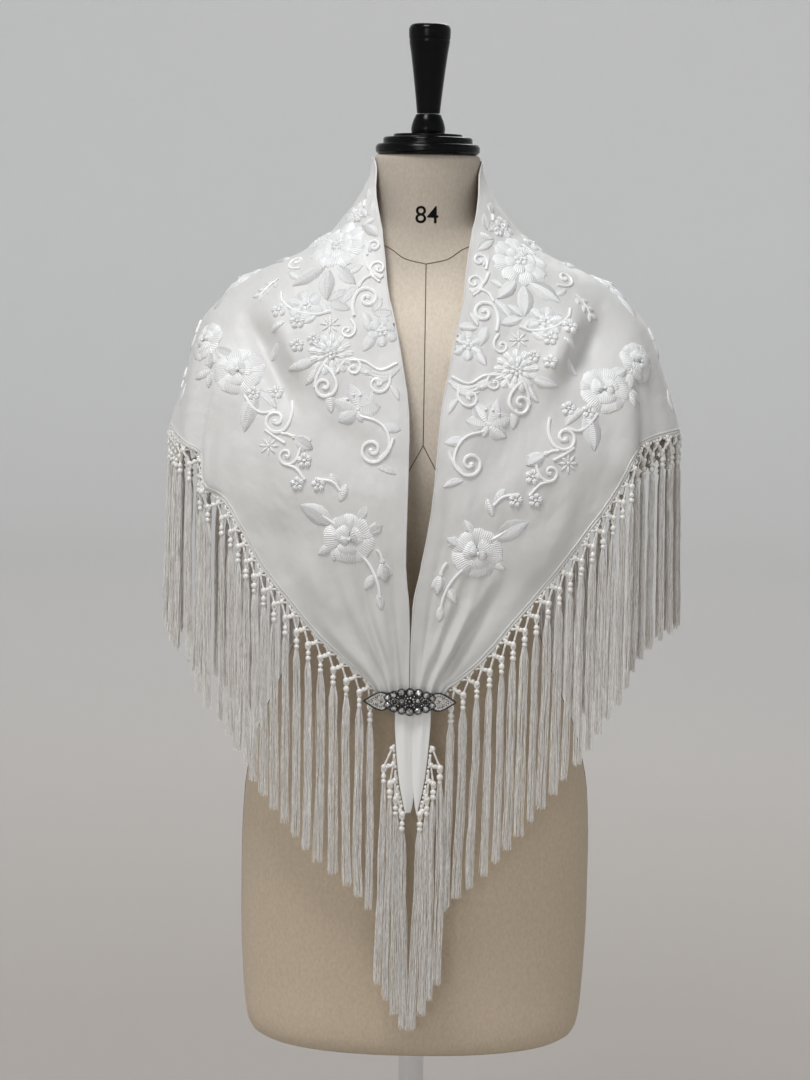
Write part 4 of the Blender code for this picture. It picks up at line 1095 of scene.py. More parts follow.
# %% Cloth
CLOTH_COLUMNS = 136
CLOTH_ROWS = 96
CLOTH_THICKNESS = 0.0010
RIPPLE = 0.0006
RIPPLE_SIZE = 0.022
HANG_RIPPLE = 0.0012
HANG_WIDTH = 0.016
HANG_LENGTH = 0.080
PUCKER = 0.0006
PUCKER_SIZE = 0.007
PUCKERED_FROM = 0.88
PUCKERED_TO = 0.94
EDGE_RADIUS = 0.0009
HEM_RADIUS = 0.0015
HEM_STITCH = 0.0025
EDGE_VARIES = 0.3
EDGE_LUMPS = 300


def uneven(points, normals):
    """Moves the cloth's points by soft noise: broad ripples, and small puckers where it is worked."""
    for place, normal in zip(points.reshape(-1, 3), normals.reshape(-1, 3)):
        broad = noise.noise(Vector(place) / RIPPLE_SIZE) * RIPPLE
        hanging = Vector((place[0] / HANG_WIDTH, place[1] / HANG_WIDTH, place[2] / HANG_LENGTH))
        broad += noise.noise(hanging) * HANG_RIPPLE
        worked = float(eased(PUCKERED_FROM, PUCKERED_TO, place[2]))
        small = noise.noise(Vector(place) / PUCKER_SIZE) * PUCKER * worked
        place += normal * (broad + small)
    return clear_of_form(points)


def rolled(line, radius, seed):
    """A cord along an edge of the cloth whose thickness varies a little."""
    varied = [
        1 + EDGE_VARIES * noise.noise(Vector(place) * EDGE_LUMPS + Vector((seed, 0, 0))) for place in line
    ]
    return Line(line, radius * np.array(varied))


cloth_points, cloth_normals = cloth_grid(CLOTH_COLUMNS, CLOTH_ROWS)
cloth_points = uneven(cloth_points, cloth_normals)
shawl = piece_from("shawl", grid_through(cloth_points, "weave"), [crepe], ["shawl_cloth"])
walled(shawl, CLOTH_THICKNESS)
middle_points = cloth_points - cloth_normals * CLOTH_THICKNESS / 2
hem_in = cloth_points[:, -2] - cloth_points[:, -1]
hem_in /= np.linalg.norm(hem_in, axis=1, keepdims=True)
edge_lines = [
    rolled(middle_points[:, 0], EDGE_RADIUS, 1),
    rolled(middle_points[:, -1], HEM_RADIUS, 2),
    rolled(cloth_points[:, -1] + hem_in * HEM_STITCH, EDGE_RADIUS, 3),
]
shawl_edges = ready("shawl_edges", corded(edge_lines, 1), [crepe])
cloth_tree = BVHTree.FromPolygons(
    [vert.co for vert in shawl.data.vertices], [face.vertices for face in shawl.data.polygons]
)

# %% [markdown]
# Below the brooch the two pointed ends hang side by side, each folded on itself. They are small
# sheets of the same cloth: a crowned section that narrows towards the tip, with soft pleats that
# start under the brooch and run down.

# %% Tails
TailRow = namedtuple("TailRow", "height inner outer depth")
TAIL_ROWS = rows_of(TailRow, (
    (0.7752, 0.0006, 0.0165, 0.1232),
    (0.7550, 0.0006, 0.0164, 0.1240),
    (0.7330, 0.0006, 0.0152, 0.1244),
    (0.7180, 0.0007, 0.0139, 0.1244),
    (0.7030, 0.0010, 0.0122, 0.1242),
    (0.6885, 0.0018, 0.0099, 0.1238),
    (0.6740, 0.0034, 0.0068, 0.1232),
))
TAIL_TIP = TailRow(0.6680, 0.0048, 0.0054, 0.1229)
TAIL_X = -0.0050
TAIL_BULGE = 0.14
TAIL_WALL = 0.0024
TAIL_ACROSS = 28
TAIL_DOWN = 70
TAIL_PLEATS = 2.0
TAIL_PLEAT_DEPTH = 0.0006
TAIL_PLEATS_END = 0.690
TAIL_PLEATS_START = 0.775
TAIL_OVERLAP = 0.0045


def tail_points(side):
    """Points of one hanging end, from its inner to its outer edge and from the brooch down."""
    heights = np.linspace(TAIL_TIP.height, TAIL_ROWS[0].height, TAIL_DOWN)
    up = (TAIL_TIP, *TAIL_ROWS[::-1])
    read = {
        column: smooth_through([row.height for row in up], [getattr(row, column) for row in up], heights)
        for column in ("inner", "outer", "depth")
    }
    share = np.linspace(0, 1, TAIL_ACROSS)[:, None]
    width = (read["outer"] - read["inner"])[None, :]
    pleats = TAIL_PLEAT_DEPTH * np.cos(2 * math.pi * TAIL_PLEATS * share)
    pleats = pleats * eased(TAIL_PLEATS_END, TAIL_PLEATS_START, heights)
    points = np.zeros((TAIL_ACROSS, TAIL_DOWN, 3))
    behind = TAIL_OVERLAP * (side < 0) * (1 - share) ** 3
    points[..., 0] = TAIL_X + side * (read["inner"] + width * share) + behind
    points[..., 1] = -read["depth"] - TAIL_BULGE * width * np.sin(math.pi * share) - pleats + behind / 2
    points[..., 2] = heights
    return points[:, ::-1]


for side, word in ((-1, "left"), (1, "right")):
    mesh_data = grid_through(tail_points(side), "weave")
    if side > 0:
        bmesh.ops.reverse_faces(mesh_data, faces=mesh_data.faces)
    # The ends use the crepe with painted light, which is whiter than the shawl.
    tail = piece_from(f"end_{word}", mesh_data, [crepe_with_painted_light], [f"tail_{word}"])
    walled(tail, TAIL_WALL)

# %% [markdown]
# Satin stitch lays glossy threads side by side over padding, so each petal or leaf is a low dome
# with a clear outline, often in two halves whose threads slant away from the middle rib. One small
# ball shape, with its poles at the petal's two ends, is copied for each petal and pressed into its
# outline. Its UV map counts the threads along the petal and keeps a painted shade for each half:
# one half is painted lighter and the other darker, as threads slanting two ways catch the light.

# %% Stitched shapes
PETAL_AROUND = 10
PETAL_ALONG = 8
THREAD_PITCH = 0.0018
THREAD_SLANT = 0.7
CORD_RADIUS = 0.0014
CORD_RISE = 0.0006
BALL_FLATNESS = 0.8
SUNK = 0.30
RAY_START = 0.06
LINE_STEPS = 5
RIB_WIDTH = 0.28
NOTCH_WIDTH = 0.3
DOME_END = 0.02
BALL_SHADE = 0.8
CORD_SHADE = 0.85
petal_ball = template(
    bmesh.ops.create_uvsphere, u_segments=PETAL_AROUND, v_segments=PETAL_ALONG, radius=1.0,
    matrix=Matrix.Rotation(math.pi / 2, 4, "Y"), calc_uvs=True,
)
small_ball = template(bmesh.ops.create_uvsphere, u_segments=10, v_segments=7, radius=1.0, calc_uvs=True)


def curve_through(points):
    """A smooth line through points of a plane, with a few steps between each two."""
    points = np.asarray(points, float)
    padded = np.vstack([2 * points[0] - points[1], points, 2 * points[-1] - points[-2]])
    line = []
    for a, b, c, d in zip(padded, padded[1:], padded[2:], padded[3:]):
        for t in np.linspace(0, 1, LINE_STEPS, endpoint=False):
            line.append(0.5 * (2 * b + (c - a) * t + (2 * a - 5 * b + 4 * c - d) * t**2
                               + (3 * b - a - 3 * c + d) * t**3))
    return [*line, points[-1]]


class Motif:
    """A place on the cloth to stitch on: local right and up, and the way out of the cloth."""

    def __init__(self, work, angle, height, turn=0.0, mirror=1, size=1.0):
        self.work = work
        self.mirror = mirror
        self.size = size
        self.turn = math.radians(turn)
        point, normal = drape_points(np.array([math.radians(angle)]), np.array([height]))
        self.middle = Vector(point[0])
        self.out = Vector(normal[0])
        self.right = Vector((0, 0, 1)).cross(self.out).normalized()
        self.up = self.out.cross(self.right)

    def on_cloth(self, right, up, rise=0.0):
        """A point of the motif's plane, pressed onto the cloth and lifted by rise."""
        cos, sin = math.cos(self.turn), math.sin(self.turn)
        across = (right * cos - up * sin) * self.size * self.mirror
        along = (right * sin + up * cos) * self.size
        start = self.middle + self.right * across + self.up * along + self.out * RAY_START
        hit, normal, _, _ = cloth_tree.ray_cast(start, -self.out)
        if hit is None:
            hit, normal, _, _ = cloth_tree.find_nearest(start - self.out * RAY_START)
        return hit + normal * rise

    def petal(self, base, turn, length, width, rise=0.0016, blunt=0.8, waist=0.9, rib=0.0,
              bend=0.0, shades=(0.6, 0.6), lift=0.0, fan=False, notch=0.0):
        """A satin-stitched dome that points away from its base; turn 0 points up. Threads run
        across it and slant from the middle rib, or along it where they fan out."""
        mesh_data = self.work.mesh_data
        cos, sin = math.cos(math.radians(turn)), math.sin(math.radians(turn))

        def pressed(unit):
            share = min(max((unit.x + 1) / 2, 0.0), 1.0)
            ring = math.sqrt(max(1 - unit.x**2, 1e-9))
            side, dome = unit.y / ring, unit.z / ring
            half = width / 2 * max(math.sin(math.pi * share**waist), 0.0) ** blunt
            across = half * side + bend * 4 * share * (1 - share)
            height = rise * math.sin(math.pi * min(max(share, DOME_END), 1 - DOME_END)) ** 0.5
            height *= 1 - rib * math.exp(-((side / RIB_WIDTH) ** 2))
            height = height * dome + lift if dome > 0 else rise * SUNK * dome
            along = share * length * (1 - notch * share**3 * math.exp(-((side / NOTCH_WIDTH) ** 2)))
            right = base[0] + along * -sin + across * cos
            up = base[1] + along * cos + across * sin
            return self.on_cloth(right, up, height)

        faces_before = len(mesh_data.faces)
        units = [vert.co.copy() for vert in petal_ball.vertices]
        new = add_copy(mesh_data, petal_ball, pressed)
        pitch = THREAD_PITCH / self.size
        if fan:
            counts = [unit.y * width / 2 / pitch for unit in units]
        else:
            counts = [
                ((unit.x + 1) / 2 * length - abs(unit.y) * width * THREAD_SLANT) / pitch
                for unit in units
            ]
        along = dict(zip(new, counts))
        sides = {vert: unit.y for vert, unit in zip(new, units)}
        mesh_data.faces.ensure_lookup_table()
        layer = self.work.layer
        for face in mesh_data.faces[faces_before:]:
            # Painted shade: each half of the petal takes its own lighter or darker tone, standing in for
            # light caught by threads slanting two ways.
            half = sum(sides[loop.vert] for loop in face.loops)
            shade = shades[0] if half * self.mirror < 0 else shades[1]
            for loop in face.loops:
                loop[layer].uv = (along[loop.vert], shade)

    def cord(self, points, radius=CORD_RADIUS):
        """A raised cord through points of the motif's plane."""
        line = np.array([self.on_cloth(right, up, CORD_RISE) for right, up in curve_through(points)])
        self.work.lines.append(Line(line, radius))

    def ball(self, place, radius, lift=0.0):
        """A small padded ball."""
        middle = self.on_cloth(*place, lift)
        flat = BALL_FLATNESS * self.size
        new = add_copy(self.work.mesh_data, small_ball)
        for vert in new:
            local = vert.co * radius * self.size
            vert.co = middle + self.right * local.x + self.up * local.y + self.out * local.z * flat
        self.work.mesh_data.faces.ensure_lookup_table()
        for face in self.work.mesh_data.faces[-len(small_ball.polygons):]:
            for loop in face.loops:
                loop[self.work.layer].uv = (loop.vert.co.z / THREAD_PITCH, BALL_SHADE)


class Embroidery:
    """Collects the stitched shapes of one part of the cloth."""

    def __init__(self):
        self.mesh_data = bmesh.new()
        self.layer = self.mesh_data.loops.layers.uv.new("stitch")
        self.lines = []

    def stem(self, points, side):
        """A cord over the cloth through (angle, height) points."""
        places = np.array(curve_through(points))
        line, normals = drape_points(np.radians(places[:, 0]) * side, places[:, 1])
        pressed = []
        for place, normal in zip(line, normals):
            hit = cloth_tree.ray_cast(Vector(place + normal * RAY_START), Vector(-normal))[0]
            pressed.append((hit or Vector(place)) + Vector(normal) * CORD_RISE)
        self.lines.append(Line(pressed, CORD_RADIUS))

    def finished(self, name):
        """One piece of everything that was stitched."""
        if self.lines:
            cords = corded(self.lines, 1)
            layer = cords.uv_layers[0]
            layer.name = "stitch"
            layer.data.foreach_set("uv", np.tile([0.0, CORD_SHADE], len(cords.loops)))
            self.mesh_data.from_mesh(cords)
        bmesh.ops.recalc_face_normals(self.mesh_data, faces=self.mesh_data.faces)
        return piece_from(name, self.mesh_data, [satin_stitch])


print("a petal has", len(petal_ball.polygons), "faces")

# %% [markdown]
# The vocabulary of the embroidery: roses and peonies in rings of petals, a carnation with a
# fringed edge, a lily, daisies, buds, leaves whose halves carry a lighter and a darker painted
# shade, curled tendrils, plumes, small stars and clusters of knots. Each is a function that
# stitches its shapes round its own middle, in metres.

# %% Flowers and leaves
ROSE_REACH = 0.003
STAMEN_LENGTH = 0.011
STAMEN_RADIUS = 0.0006
SPRIG_RADIUS = 0.0009


def point_at(turn, reach):
    """The point so far from the middle, where turn 0 is up."""
    return -math.sin(math.radians(turn)) * reach, math.cos(math.radians(turn)) * reach


def ring_of(motif, count, reach, length, width, first=0.0, **looks):
    """Petals round the middle, their bases on a circle, each pointing outwards."""
    for index in range(count):
        turn = first + 360.0 * index / count
        motif.petal(point_at(turn, reach), turn, length, width, **looks)


def rose(motif):
    """Five broad petals of different size, three that close over them, and a small cup."""
    for turn, length, width in ((20, 0.0170, 0.0235), (92, 0.0180, 0.0240), (165, 0.0172, 0.0240),
                                (235, 0.0182, 0.0245), (305, 0.0170, 0.0235)):
        motif.petal(point_at(turn, ROSE_REACH), turn, length, width, blunt=0.5, waist=1.55, rise=0.0026,
                    fan=True, notch=0.08, shades=(0.45, 0.80))
    for turn, length, width in ((55, 0.0125, 0.0175), (175, 0.0135, 0.0185), (290, 0.0120, 0.0170)):
        motif.petal((0, 0), turn, length, width, blunt=0.5, waist=1.6, rise=0.0030, lift=0.0012,
                    fan=True, shades=(0.60, 0.90))
    # The small cup is given a darker painted shade than the petals round it.
    for turn in (115, 290):
        motif.petal((0, 0), turn, 0.0075, 0.0105, blunt=0.5, waist=1.5, rise=0.0028, lift=0.0026,
                    fan=True, shades=(0.25, 0.60))
    motif.ball((0, 0), 0.0016, 0.0046)


def peony(motif):
    """Three rings of petals, the outer ones notched."""
    ring_of(motif, 8, 0.0065, 0.0185, 0.0165, blunt=0.55, waist=1.4, rib=0.30, rise=0.0020,
            fan=True, notch=0.18, shades=(0.55, 0.95))
    ring_of(motif, 6, 0.0025, 0.0135, 0.0130, first=25, blunt=0.55, waist=1.4, rib=0.2, rise=0.0028,
            fan=True, shades=(0.65, 0.95))
    ring_of(motif, 5, 0.0005, 0.0068, 0.0065, first=5, rise=0.0036, fan=True, shades=(0.35, 0.8))
    motif.ball((0, 0), 0.0019, 0.0026)


def carnation(motif):
    """Many narrow petals, so the edge looks fringed."""
    ring_of(motif, 13, 0.0080, 0.0130, 0.0068, blunt=0.45, waist=1.8, rise=0.0018, fan=True,
            shades=(0.5, 0.9))
    ring_of(motif, 10, 0.0040, 0.0100, 0.0062, first=12, blunt=0.45, waist=1.7, rise=0.0026, fan=True,
            shades=(0.65, 0.95))
    ring_of(motif, 6, 0.0008, 0.0062, 0.0050, first=4, rise=0.0032, fan=True, shades=(0.4, 0.8))
    motif.ball((0, 0), 0.0015, 0.0026)


def lily(motif):
    """Five ribbed petals in a fan, three stamens over them, and the stem's end below."""
    for turn, length in ((-100, 0.016), (-50, 0.019), (0, 0.021), (50, 0.019), (100, 0.016)):
        motif.petal((0, 0), turn, length, 0.0125, blunt=0.95, waist=0.95, rib=0.5, rise=0.0019,
                    shades=(0.4, 0.95))
    for turn in (-26, 0, 26):
        tip = point_at(turn, STAMEN_LENGTH)
        motif.cord([(0, 0), (tip[0] / 2, tip[1] / 2), tip], STAMEN_RADIUS)
        motif.ball(tip, 0.0011, 0.0016)
    motif.petal((0, 0), 180, 0.009, 0.0065, shades=(0.5, 0.8))


def daisy(motif):
    """Six petals round a smaller ring and a knot."""
    ring_of(motif, 6, 0.0025, 0.0115, 0.0100, blunt=0.55, waist=1.3, rib=0.3, rise=0.0018,
            shades=(0.5, 0.95))
    ring_of(motif, 5, 0.0005, 0.0055, 0.0050, first=30, rise=0.0024, fan=True, shades=(0.6, 0.9))
    motif.ball((0, 0), 0.0018, 0.0018)


def bud(motif):
    """A closed petal with a darker painted shade between two lighter ones, on a short stem."""
    for side in (1, -1):
        motif.petal((0, -0.006), side * 26, 0.0150, 0.0080, rise=0.0016, shades=(0.75, 0.95),
                    bend=side * 0.0015)
    motif.petal((0, -0.006), 0, 0.0185, 0.0110, rib=0.45, rise=0.0026, shades=(0.2, 0.75))
    motif.ball((0, -0.007), 0.0022)
    motif.cord([(0, -0.008), (0.0008, -0.013), (0.0030, -0.018)])


def one_leaf(length, width, **looks):
    """Makes a motif of one leaf, centred on its place."""
    return lambda motif: motif.petal((0, -length / 2), 0, length, width, **looks)


leaf = one_leaf(0.030, 0.0150, blunt=0.9, rib=0.6, rise=0.0020, shades=(0.25, 0.9), bend=0.0015)
slim_leaf = one_leaf(0.024, 0.0085, blunt=0.85, rib=0.5, rise=0.0018, shades=(0.45, 0.95), bend=-0.0020)
small_leaf = one_leaf(0.015, 0.0078, blunt=0.8, rib=0.4, rise=0.0016, shades=(0.5, 0.9))


def twin_leaf(motif):
    """Two leaves that part from one foot."""
    for foot, turn, length, width in ((0.0010, -26, 0.021, 0.0105), (-0.0010, 28, 0.018, 0.0092)):
        motif.petal((foot, -0.009), turn, length, width, rib=0.5, rise=0.0018, shades=(0.35, 0.9))


def sprig(motif):
    """Small leaves in pairs along a thin stem."""
    motif.cord([(0, -0.013), (0.0010, -0.004), (0, 0.005), (-0.0012, 0.012)], SPRIG_RADIUS)
    for height, turn in ((-0.009, 55), (-0.006, -55), (0.0, 50), (0.003, -50), (0.009, 42), (0.010, -42)):
        motif.petal((0, height), turn, 0.0095, 0.0052, rise=0.0014, shades=(0.55, 0.9))


def spiral_points(radius, tighter, step_angle, count):
    """Points that curl in on their middle."""
    points = []
    for step in range(count):
        turn = math.radians(180 - step_angle * step)
        reach = radius - tighter * step
        points.append((reach * math.cos(turn), reach * math.sin(turn)))
    return points


def tendril(motif):
    """A cord that comes from the side and curls in on itself."""
    points = [(-0.0105, -0.0170), (-0.0122, -0.0085), *spiral_points(0.0115, 0.00082, 40, 13)]
    motif.cord(points, 0.0016)
    motif.ball(points[-1], 0.0023)


def curl(motif):
    """A smaller, tighter curl."""
    points = [(-0.0062, -0.0105), (-0.0078, -0.0045), *spiral_points(0.0078, 0.00070, 42, 11)]
    motif.cord(points, 0.0013)
    motif.ball(points[-1], 0.0018)


def knots(motif):
    """A very small flower of five round petals."""
    ring_of(motif, 5, 0.0012, 0.0072, 0.0072, first=10, blunt=0.5, waist=1.35, rise=0.0026, fan=True,
            shades=(0.45, 0.95))
    motif.ball((0, 0), 0.0019, 0.0014)


def star(motif):
    """Eight thin rays round a knot."""
    ring_of(motif, 8, 0.0012, 0.0078, 0.0024, rise=0.0014, shades=(0.85, 0.85))
    motif.ball((0, 0), 0.0015, 0.0006)


def plume(motif):
    """Three long curved petals side by side."""
    for offset, bend, length in ((0.000, 0.0085, 0.032), (0.0040, 0.0070, 0.028), (0.0080, 0.0050, 0.022)):
        motif.petal((offset, -0.014), 0, length, 0.0056, blunt=0.7, rise=0.0018, bend=bend,
                    shades=(0.5, 0.95))
    motif.ball((0.004, -0.0150), 0.0021)


print("motifs are defined")

# %% [markdown]
# The flowers lie where embroiderers put them: dense on the shoulders and down both front edges,
# opener towards the hem, and a garland down the middle of the back. One table gives the left
# front, and the right front is its mirror image, a little lower, as the shawl hangs. The back has
# a table of its own for one half, which is mirrored too, with its main flowers on the centre line.

# %% Embroidery
Place = namedtuple("Place", "kind angle height turn size")
FRONT_PLACES = rows_of(Place, (
    (daisy, 70, 1.216, 0, 0.80), (bud, 66, 1.232, 10, 0.60), (leaf, 47, 1.200, 60, 0.65),
    (curl, 39, 1.186, 0, 0.80), (twin_leaf, 57, 1.219, 30, 0.75), (small_leaf, 51, 1.208, 120, 0.90),
    (knots, 62, 1.212, 0, 0.60), (small_leaf, 43, 1.186, 210, 0.90), (slim_leaf, 71, 1.190, 80, 0.90),
    (peony, 62, 1.186, 0, 1.05), (leaf, 61, 1.157, 130, 1.10), (small_leaf, 67, 1.158, 60, 1.00),
    (leaf, 52, 1.150, 185, 1.00), (leaf, 47, 1.160, 225, 0.85), (small_leaf, 44, 1.165, 300, 0.90),
    (curl, 73, 1.170, 90, 1.05), (sprig, 71, 1.147, 150, 0.90), (daisy, 55, 1.131, 20, 1.15),
    (small_leaf, 49, 1.130, 40, 1.00), (small_leaf, 51, 1.118, 130, 0.90), (knots, 47, 1.100, 0, 0.70),
    (small_leaf, 30, 1.118, 200, 1.30), (small_leaf, 27, 1.100, 150, 1.30), (knots, 61, 1.125, 0, 0.90),
    (small_leaf, 59, 1.111, 120, 1.00), (knots, 54, 1.115, 0, 0.80), (star, 44, 1.115, 0, 1.00),
    (twin_leaf, 45, 1.137, 280, 0.95), (slim_leaf, 41, 1.142, 320, 1.05), (tendril, 33, 1.139, 0, 0.95),
    (curl, 32, 1.166, 40, 1.00), (curl, 37, 1.110, 200, 0.90), (twin_leaf, 25, 1.130, 300, 0.85),
    (daisy, 22, 1.110, 60, 1.00), (rose, 77, 1.095, 40, 0.90), (bud, 72, 1.080, 200, 0.80),
    (leaf, 69, 1.086, 250, 0.80), (rose, 64, 1.071, 0, 1.05), (twin_leaf, 71, 1.062, 150, 0.80),
    (small_leaf, 58, 1.092, 320, 1.10), (knots, 58, 1.052, 0, 0.80), (knots, 53, 1.055, 0, 0.80),
    (leaf, 57, 1.034, 170, 1.15), (slim_leaf, 54, 1.047, 230, 1.00), (tendril, 50, 1.029, 180, 1.05),
    (curl, 45, 0.998, 150, 1.10), (star, 50, 1.006, 0, 1.00), (bud, 42, 1.011, 240, 1.00),
    (knots, 40, 0.994, 0, 0.80), (knots, 41, 0.973, 0, 0.75), (knots, 35, 0.973, 0, 0.75),
    (small_leaf, 30, 0.976, 210, 1.10), (small_leaf, 27, 0.966, 160, 1.10),
    (carnation, 40, 1.088, 0, 0.92), (knots, 51, 1.094, 0, 0.75), (slim_leaf, 48, 1.079, 110, 1.10),
    (tendril, 39, 1.060, 220, 0.95), (slim_leaf, 44, 1.069, 150, 0.80),
    (small_leaf, 36, 1.046, 190, 1.20), (curl, 31, 1.077, 320, 1.15),
    (small_leaf, 26, 1.075, 250, 1.10), (plume, 19, 1.080, 280, 1.00), (curl, 20, 1.064, 170, 1.15),
    (slim_leaf, 13, 1.056, 210, 0.70), (lily, 26, 1.040, 20, 1.20), (small_leaf, 13, 1.025, 260, 1.20),
    (tendril, 19, 1.006, 150, 1.00), (slim_leaf, 13, 0.987, 250, 0.75), (leaf, 35, 0.945, 60, 1.10),
    (rose, 24, 0.925, 0, 1.05), (twin_leaf, 30, 0.912, 150, 0.75), (small_leaf, 20, 0.948, 330, 1.00),
    (bud, 16, 0.933, 300, 0.75), (bud, 11, 0.898, 190, 0.95), (small_leaf, 16, 0.885, 150, 1.10),
    (small_leaf, 12, 0.868, 190, 1.00),
))
FRONT_STEMS = (
    ((65, 1.142), (62, 1.133), (56, 1.124), (50, 1.123), (46, 1.127)),
    ((39, 1.149), (38, 1.156), (34, 1.160), (28, 1.159)),
    ((42, 1.175), (37, 1.165), (29, 1.157)),
    ((40, 1.090), (42, 1.070), (42, 1.059)),
    ((33, 1.084), (27, 1.083), (20, 1.076), (13, 1.082)),
    ((25, 1.035), (18, 1.030), (14, 1.020), (13, 1.007), (16, 0.998)),
    ((60, 1.050), (57, 1.040), (54, 1.035), (51, 1.038)),
    ((52, 1.020), (49, 1.014), (46, 1.009)),
    ((45, 0.990), (42, 0.987), (39, 0.977)),
    ((36, 0.978), (31, 0.976), (28, 0.968)),
    ((33, 0.945), (29, 0.938), (25, 0.935)),
    ((20, 0.912), (16, 0.900), (13, 0.885), (12, 0.872)),
)
BACK_STEMS = (
    ((92, 1.150), (96, 1.138), (100, 1.125)),
    ((118, 1.190), (128, 1.182), (140, 1.190), (152, 1.200)),
    ((112, 1.130), (120, 1.118), (132, 1.122), (146, 1.140)),
    ((146, 1.140), (160, 1.140), (172, 1.120)),
    ((110, 1.052), (116, 1.043), (117, 1.026), (124, 1.012), (126, 0.996), (131, 0.990)),
    ((150, 1.090), (158, 1.085), (163, 1.065), (172, 1.055)),
    ((150, 1.030), (160, 1.022), (170, 1.030)),
    ((150, 1.030), (147, 1.000), (145, 0.970), (141, 0.955)),
    ((172, 0.950), (165, 0.945), (157, 0.950)),
    ((172, 0.860), (166, 0.868), (157, 0.865)),
    ((176, 0.905), (168, 0.915), (165, 0.930)),
)
RIGHT_SHARE = 0.955
RIGHT_DROP = 0.011
MOTIF_FULLNESS = 1.08
BACK_PLACES = rows_of(Place, (
    (daisy, 84, 1.190, 0, 0.90), (leaf, 88, 1.170, 100, 0.90), (rose, 92, 1.150, 0, 1.00),
    (leaf, 84, 1.135, 200, 1.00), (tendril, 100, 1.125, 60, 1.00), (bud, 88, 1.095, 180, 0.95),
    (knots, 96, 1.085, 0, 0.90), (curl, 92, 1.060, 20, 1.00), (slim_leaf, 84, 1.045, 190, 0.90),
    (peony, 118, 1.190, 0, 0.90), (leaf, 108, 1.175, 120, 0.90), (leaf, 128, 1.170, 230, 0.90),
    (curl, 140, 1.190, 0, 1.00), (daisy, 152, 1.200, 0, 0.80), (slim_leaf, 163, 1.190, 250, 0.90),
    (carnation, 112, 1.130, 0, 1.00), (twin_leaf, 121, 1.110, 210, 1.00),
    (tendril, 132, 1.135, 200, 1.00), (star, 104, 1.095, 0, 1.00), (rose, 146, 1.140, 0, 1.00),
    (leaf, 157, 1.150, 300, 1.00), (slim_leaf, 139, 1.105, 170, 0.90), (lily, 110, 1.060, 170, 1.00),
    (knots, 121, 1.072, 0, 0.90), (leaf, 128, 1.050, 200, 1.00), (bud, 118, 1.020, 190, 1.00),
    (small_leaf, 108, 1.025, 150, 1.20), (curl, 140, 1.065, 30, 1.10), (daisy, 150, 1.090, 0, 0.90),
    (slim_leaf, 161, 1.110, 220, 0.90), (tendril, 163, 1.065, 180, 1.10),
    (carnation, 150, 1.030, 0, 1.05), (leaf, 161, 1.010, 200, 1.00), (leaf, 138, 1.005, 150, 0.90),
    (star, 130, 0.985, 0, 1.00), (twin_leaf, 145, 0.970, 180, 1.00), (knots, 136, 0.955, 0, 0.80),
    (curl, 157, 0.960, 330, 1.10), (bud, 165, 0.930, 200, 1.00), (leaf, 152, 0.915, 170, 0.90),
    (small_leaf, 145, 0.915, 150, 1.10), (tendril, 165, 0.880, 150, 1.00), (daisy, 157, 0.865, 0, 0.80),
    (small_leaf, 163, 0.845, 190, 1.10),
))
CENTRE_PLACES = rows_of(Place, (
    (peony, 180, 1.165, 0, 1.10), (slim_leaf, 180, 1.130, 180, 1.00), (lily, 180, 1.095, 180, 1.00),
    (rose, 180, 1.040, 0, 1.15), (leaf, 180, 0.995, 180, 1.00), (carnation, 180, 0.950, 0, 1.15),
    (leaf, 180, 0.905, 180, 1.00), (rose, 180, 0.860, 0, 1.25), (bud, 180, 0.810, 180, 1.10),
    (knots, 180, 0.785, 0, 0.90),
))


def stitch(name, places, stems, side, share=1.0, drop=0.0):
    """Stitches a table of places on one side (-1 left, 1 right) as one piece."""
    work = Embroidery()
    for stem in stems:
        work.stem([(angle * share, height - drop) for angle, height in stem], side)
    for place in places:
        angle = side * place.angle * share
        size = place.size * MOTIF_FULLNESS
        place.kind(Motif(work, angle, place.height - drop, place.turn, -side, size))
    return work.finished(name)


embroidery = [
    stitch("embroidery_left", FRONT_PLACES, FRONT_STEMS, -1),
    stitch("embroidery_right", FRONT_PLACES, FRONT_STEMS, 1, RIGHT_SHARE, RIGHT_DROP),
    stitch("embroidery_back_left", BACK_PLACES, BACK_STEMS, -1),
    stitch("embroidery_back_right", BACK_PLACES, BACK_STEMS, 1),
    stitch("embroidery_back_middle", CENTRE_PLACES, (), 1),
]

# %% [markdown]
# The fringe is knotted by hand from silk. A knot here is a small bead squeezed a little
# differently each time, a cord of the net is two thin ones that wriggle round each other, and a
# tassel is a bundle of loose threads, slightly wavy, of which no two end at the same height. The
# random numbers come from one seeded source for each fringe, so it is the same in every run.

# %% Knots, cords and tassels
DOWN = Vector((0, 0, -1))
WHOLE_TURN = 6.28
KNOT_SQUEEZE = (0.85, 1.12)
LINK_POINTS = 6
LINK_WRIGGLE = (0.0006, 0.0013)
LINK_THICKNESS = (0.75, 1.1)
THREADS = 40
THREAD_RADIUS = 0.00021
THREAD_POINTS = 11
CLOSER_AT_TOP = 1.15
TASSEL_HALF_WIDTH = 0.0038
TASSEL_HALF_DEPTH = 0.0022
TASSEL_FULLNESS = (0.85, 1.15)
TASSEL_SWAY = (-0.0025, 0.0025)
SWAY_WAVES = 4.0
TOP_SPREAD = 0.45
BELLY_SPREAD = 0.45
END_SPREAD = 0.25
BELLY_AT = 0.07
WAVE_ACROSS = 0.00065
WAVE_DEEP = 0.00045
WAVE_COUNT = (8, 20)
WAVES_FROM = 0.1
END_UNEVEN = (-0.004, 0.030)
CORD_FACES = 0
THREAD_FACES = 1
bead = template(bmesh.ops.create_uvsphere, u_segments=8, v_segments=6, radius=1.0)


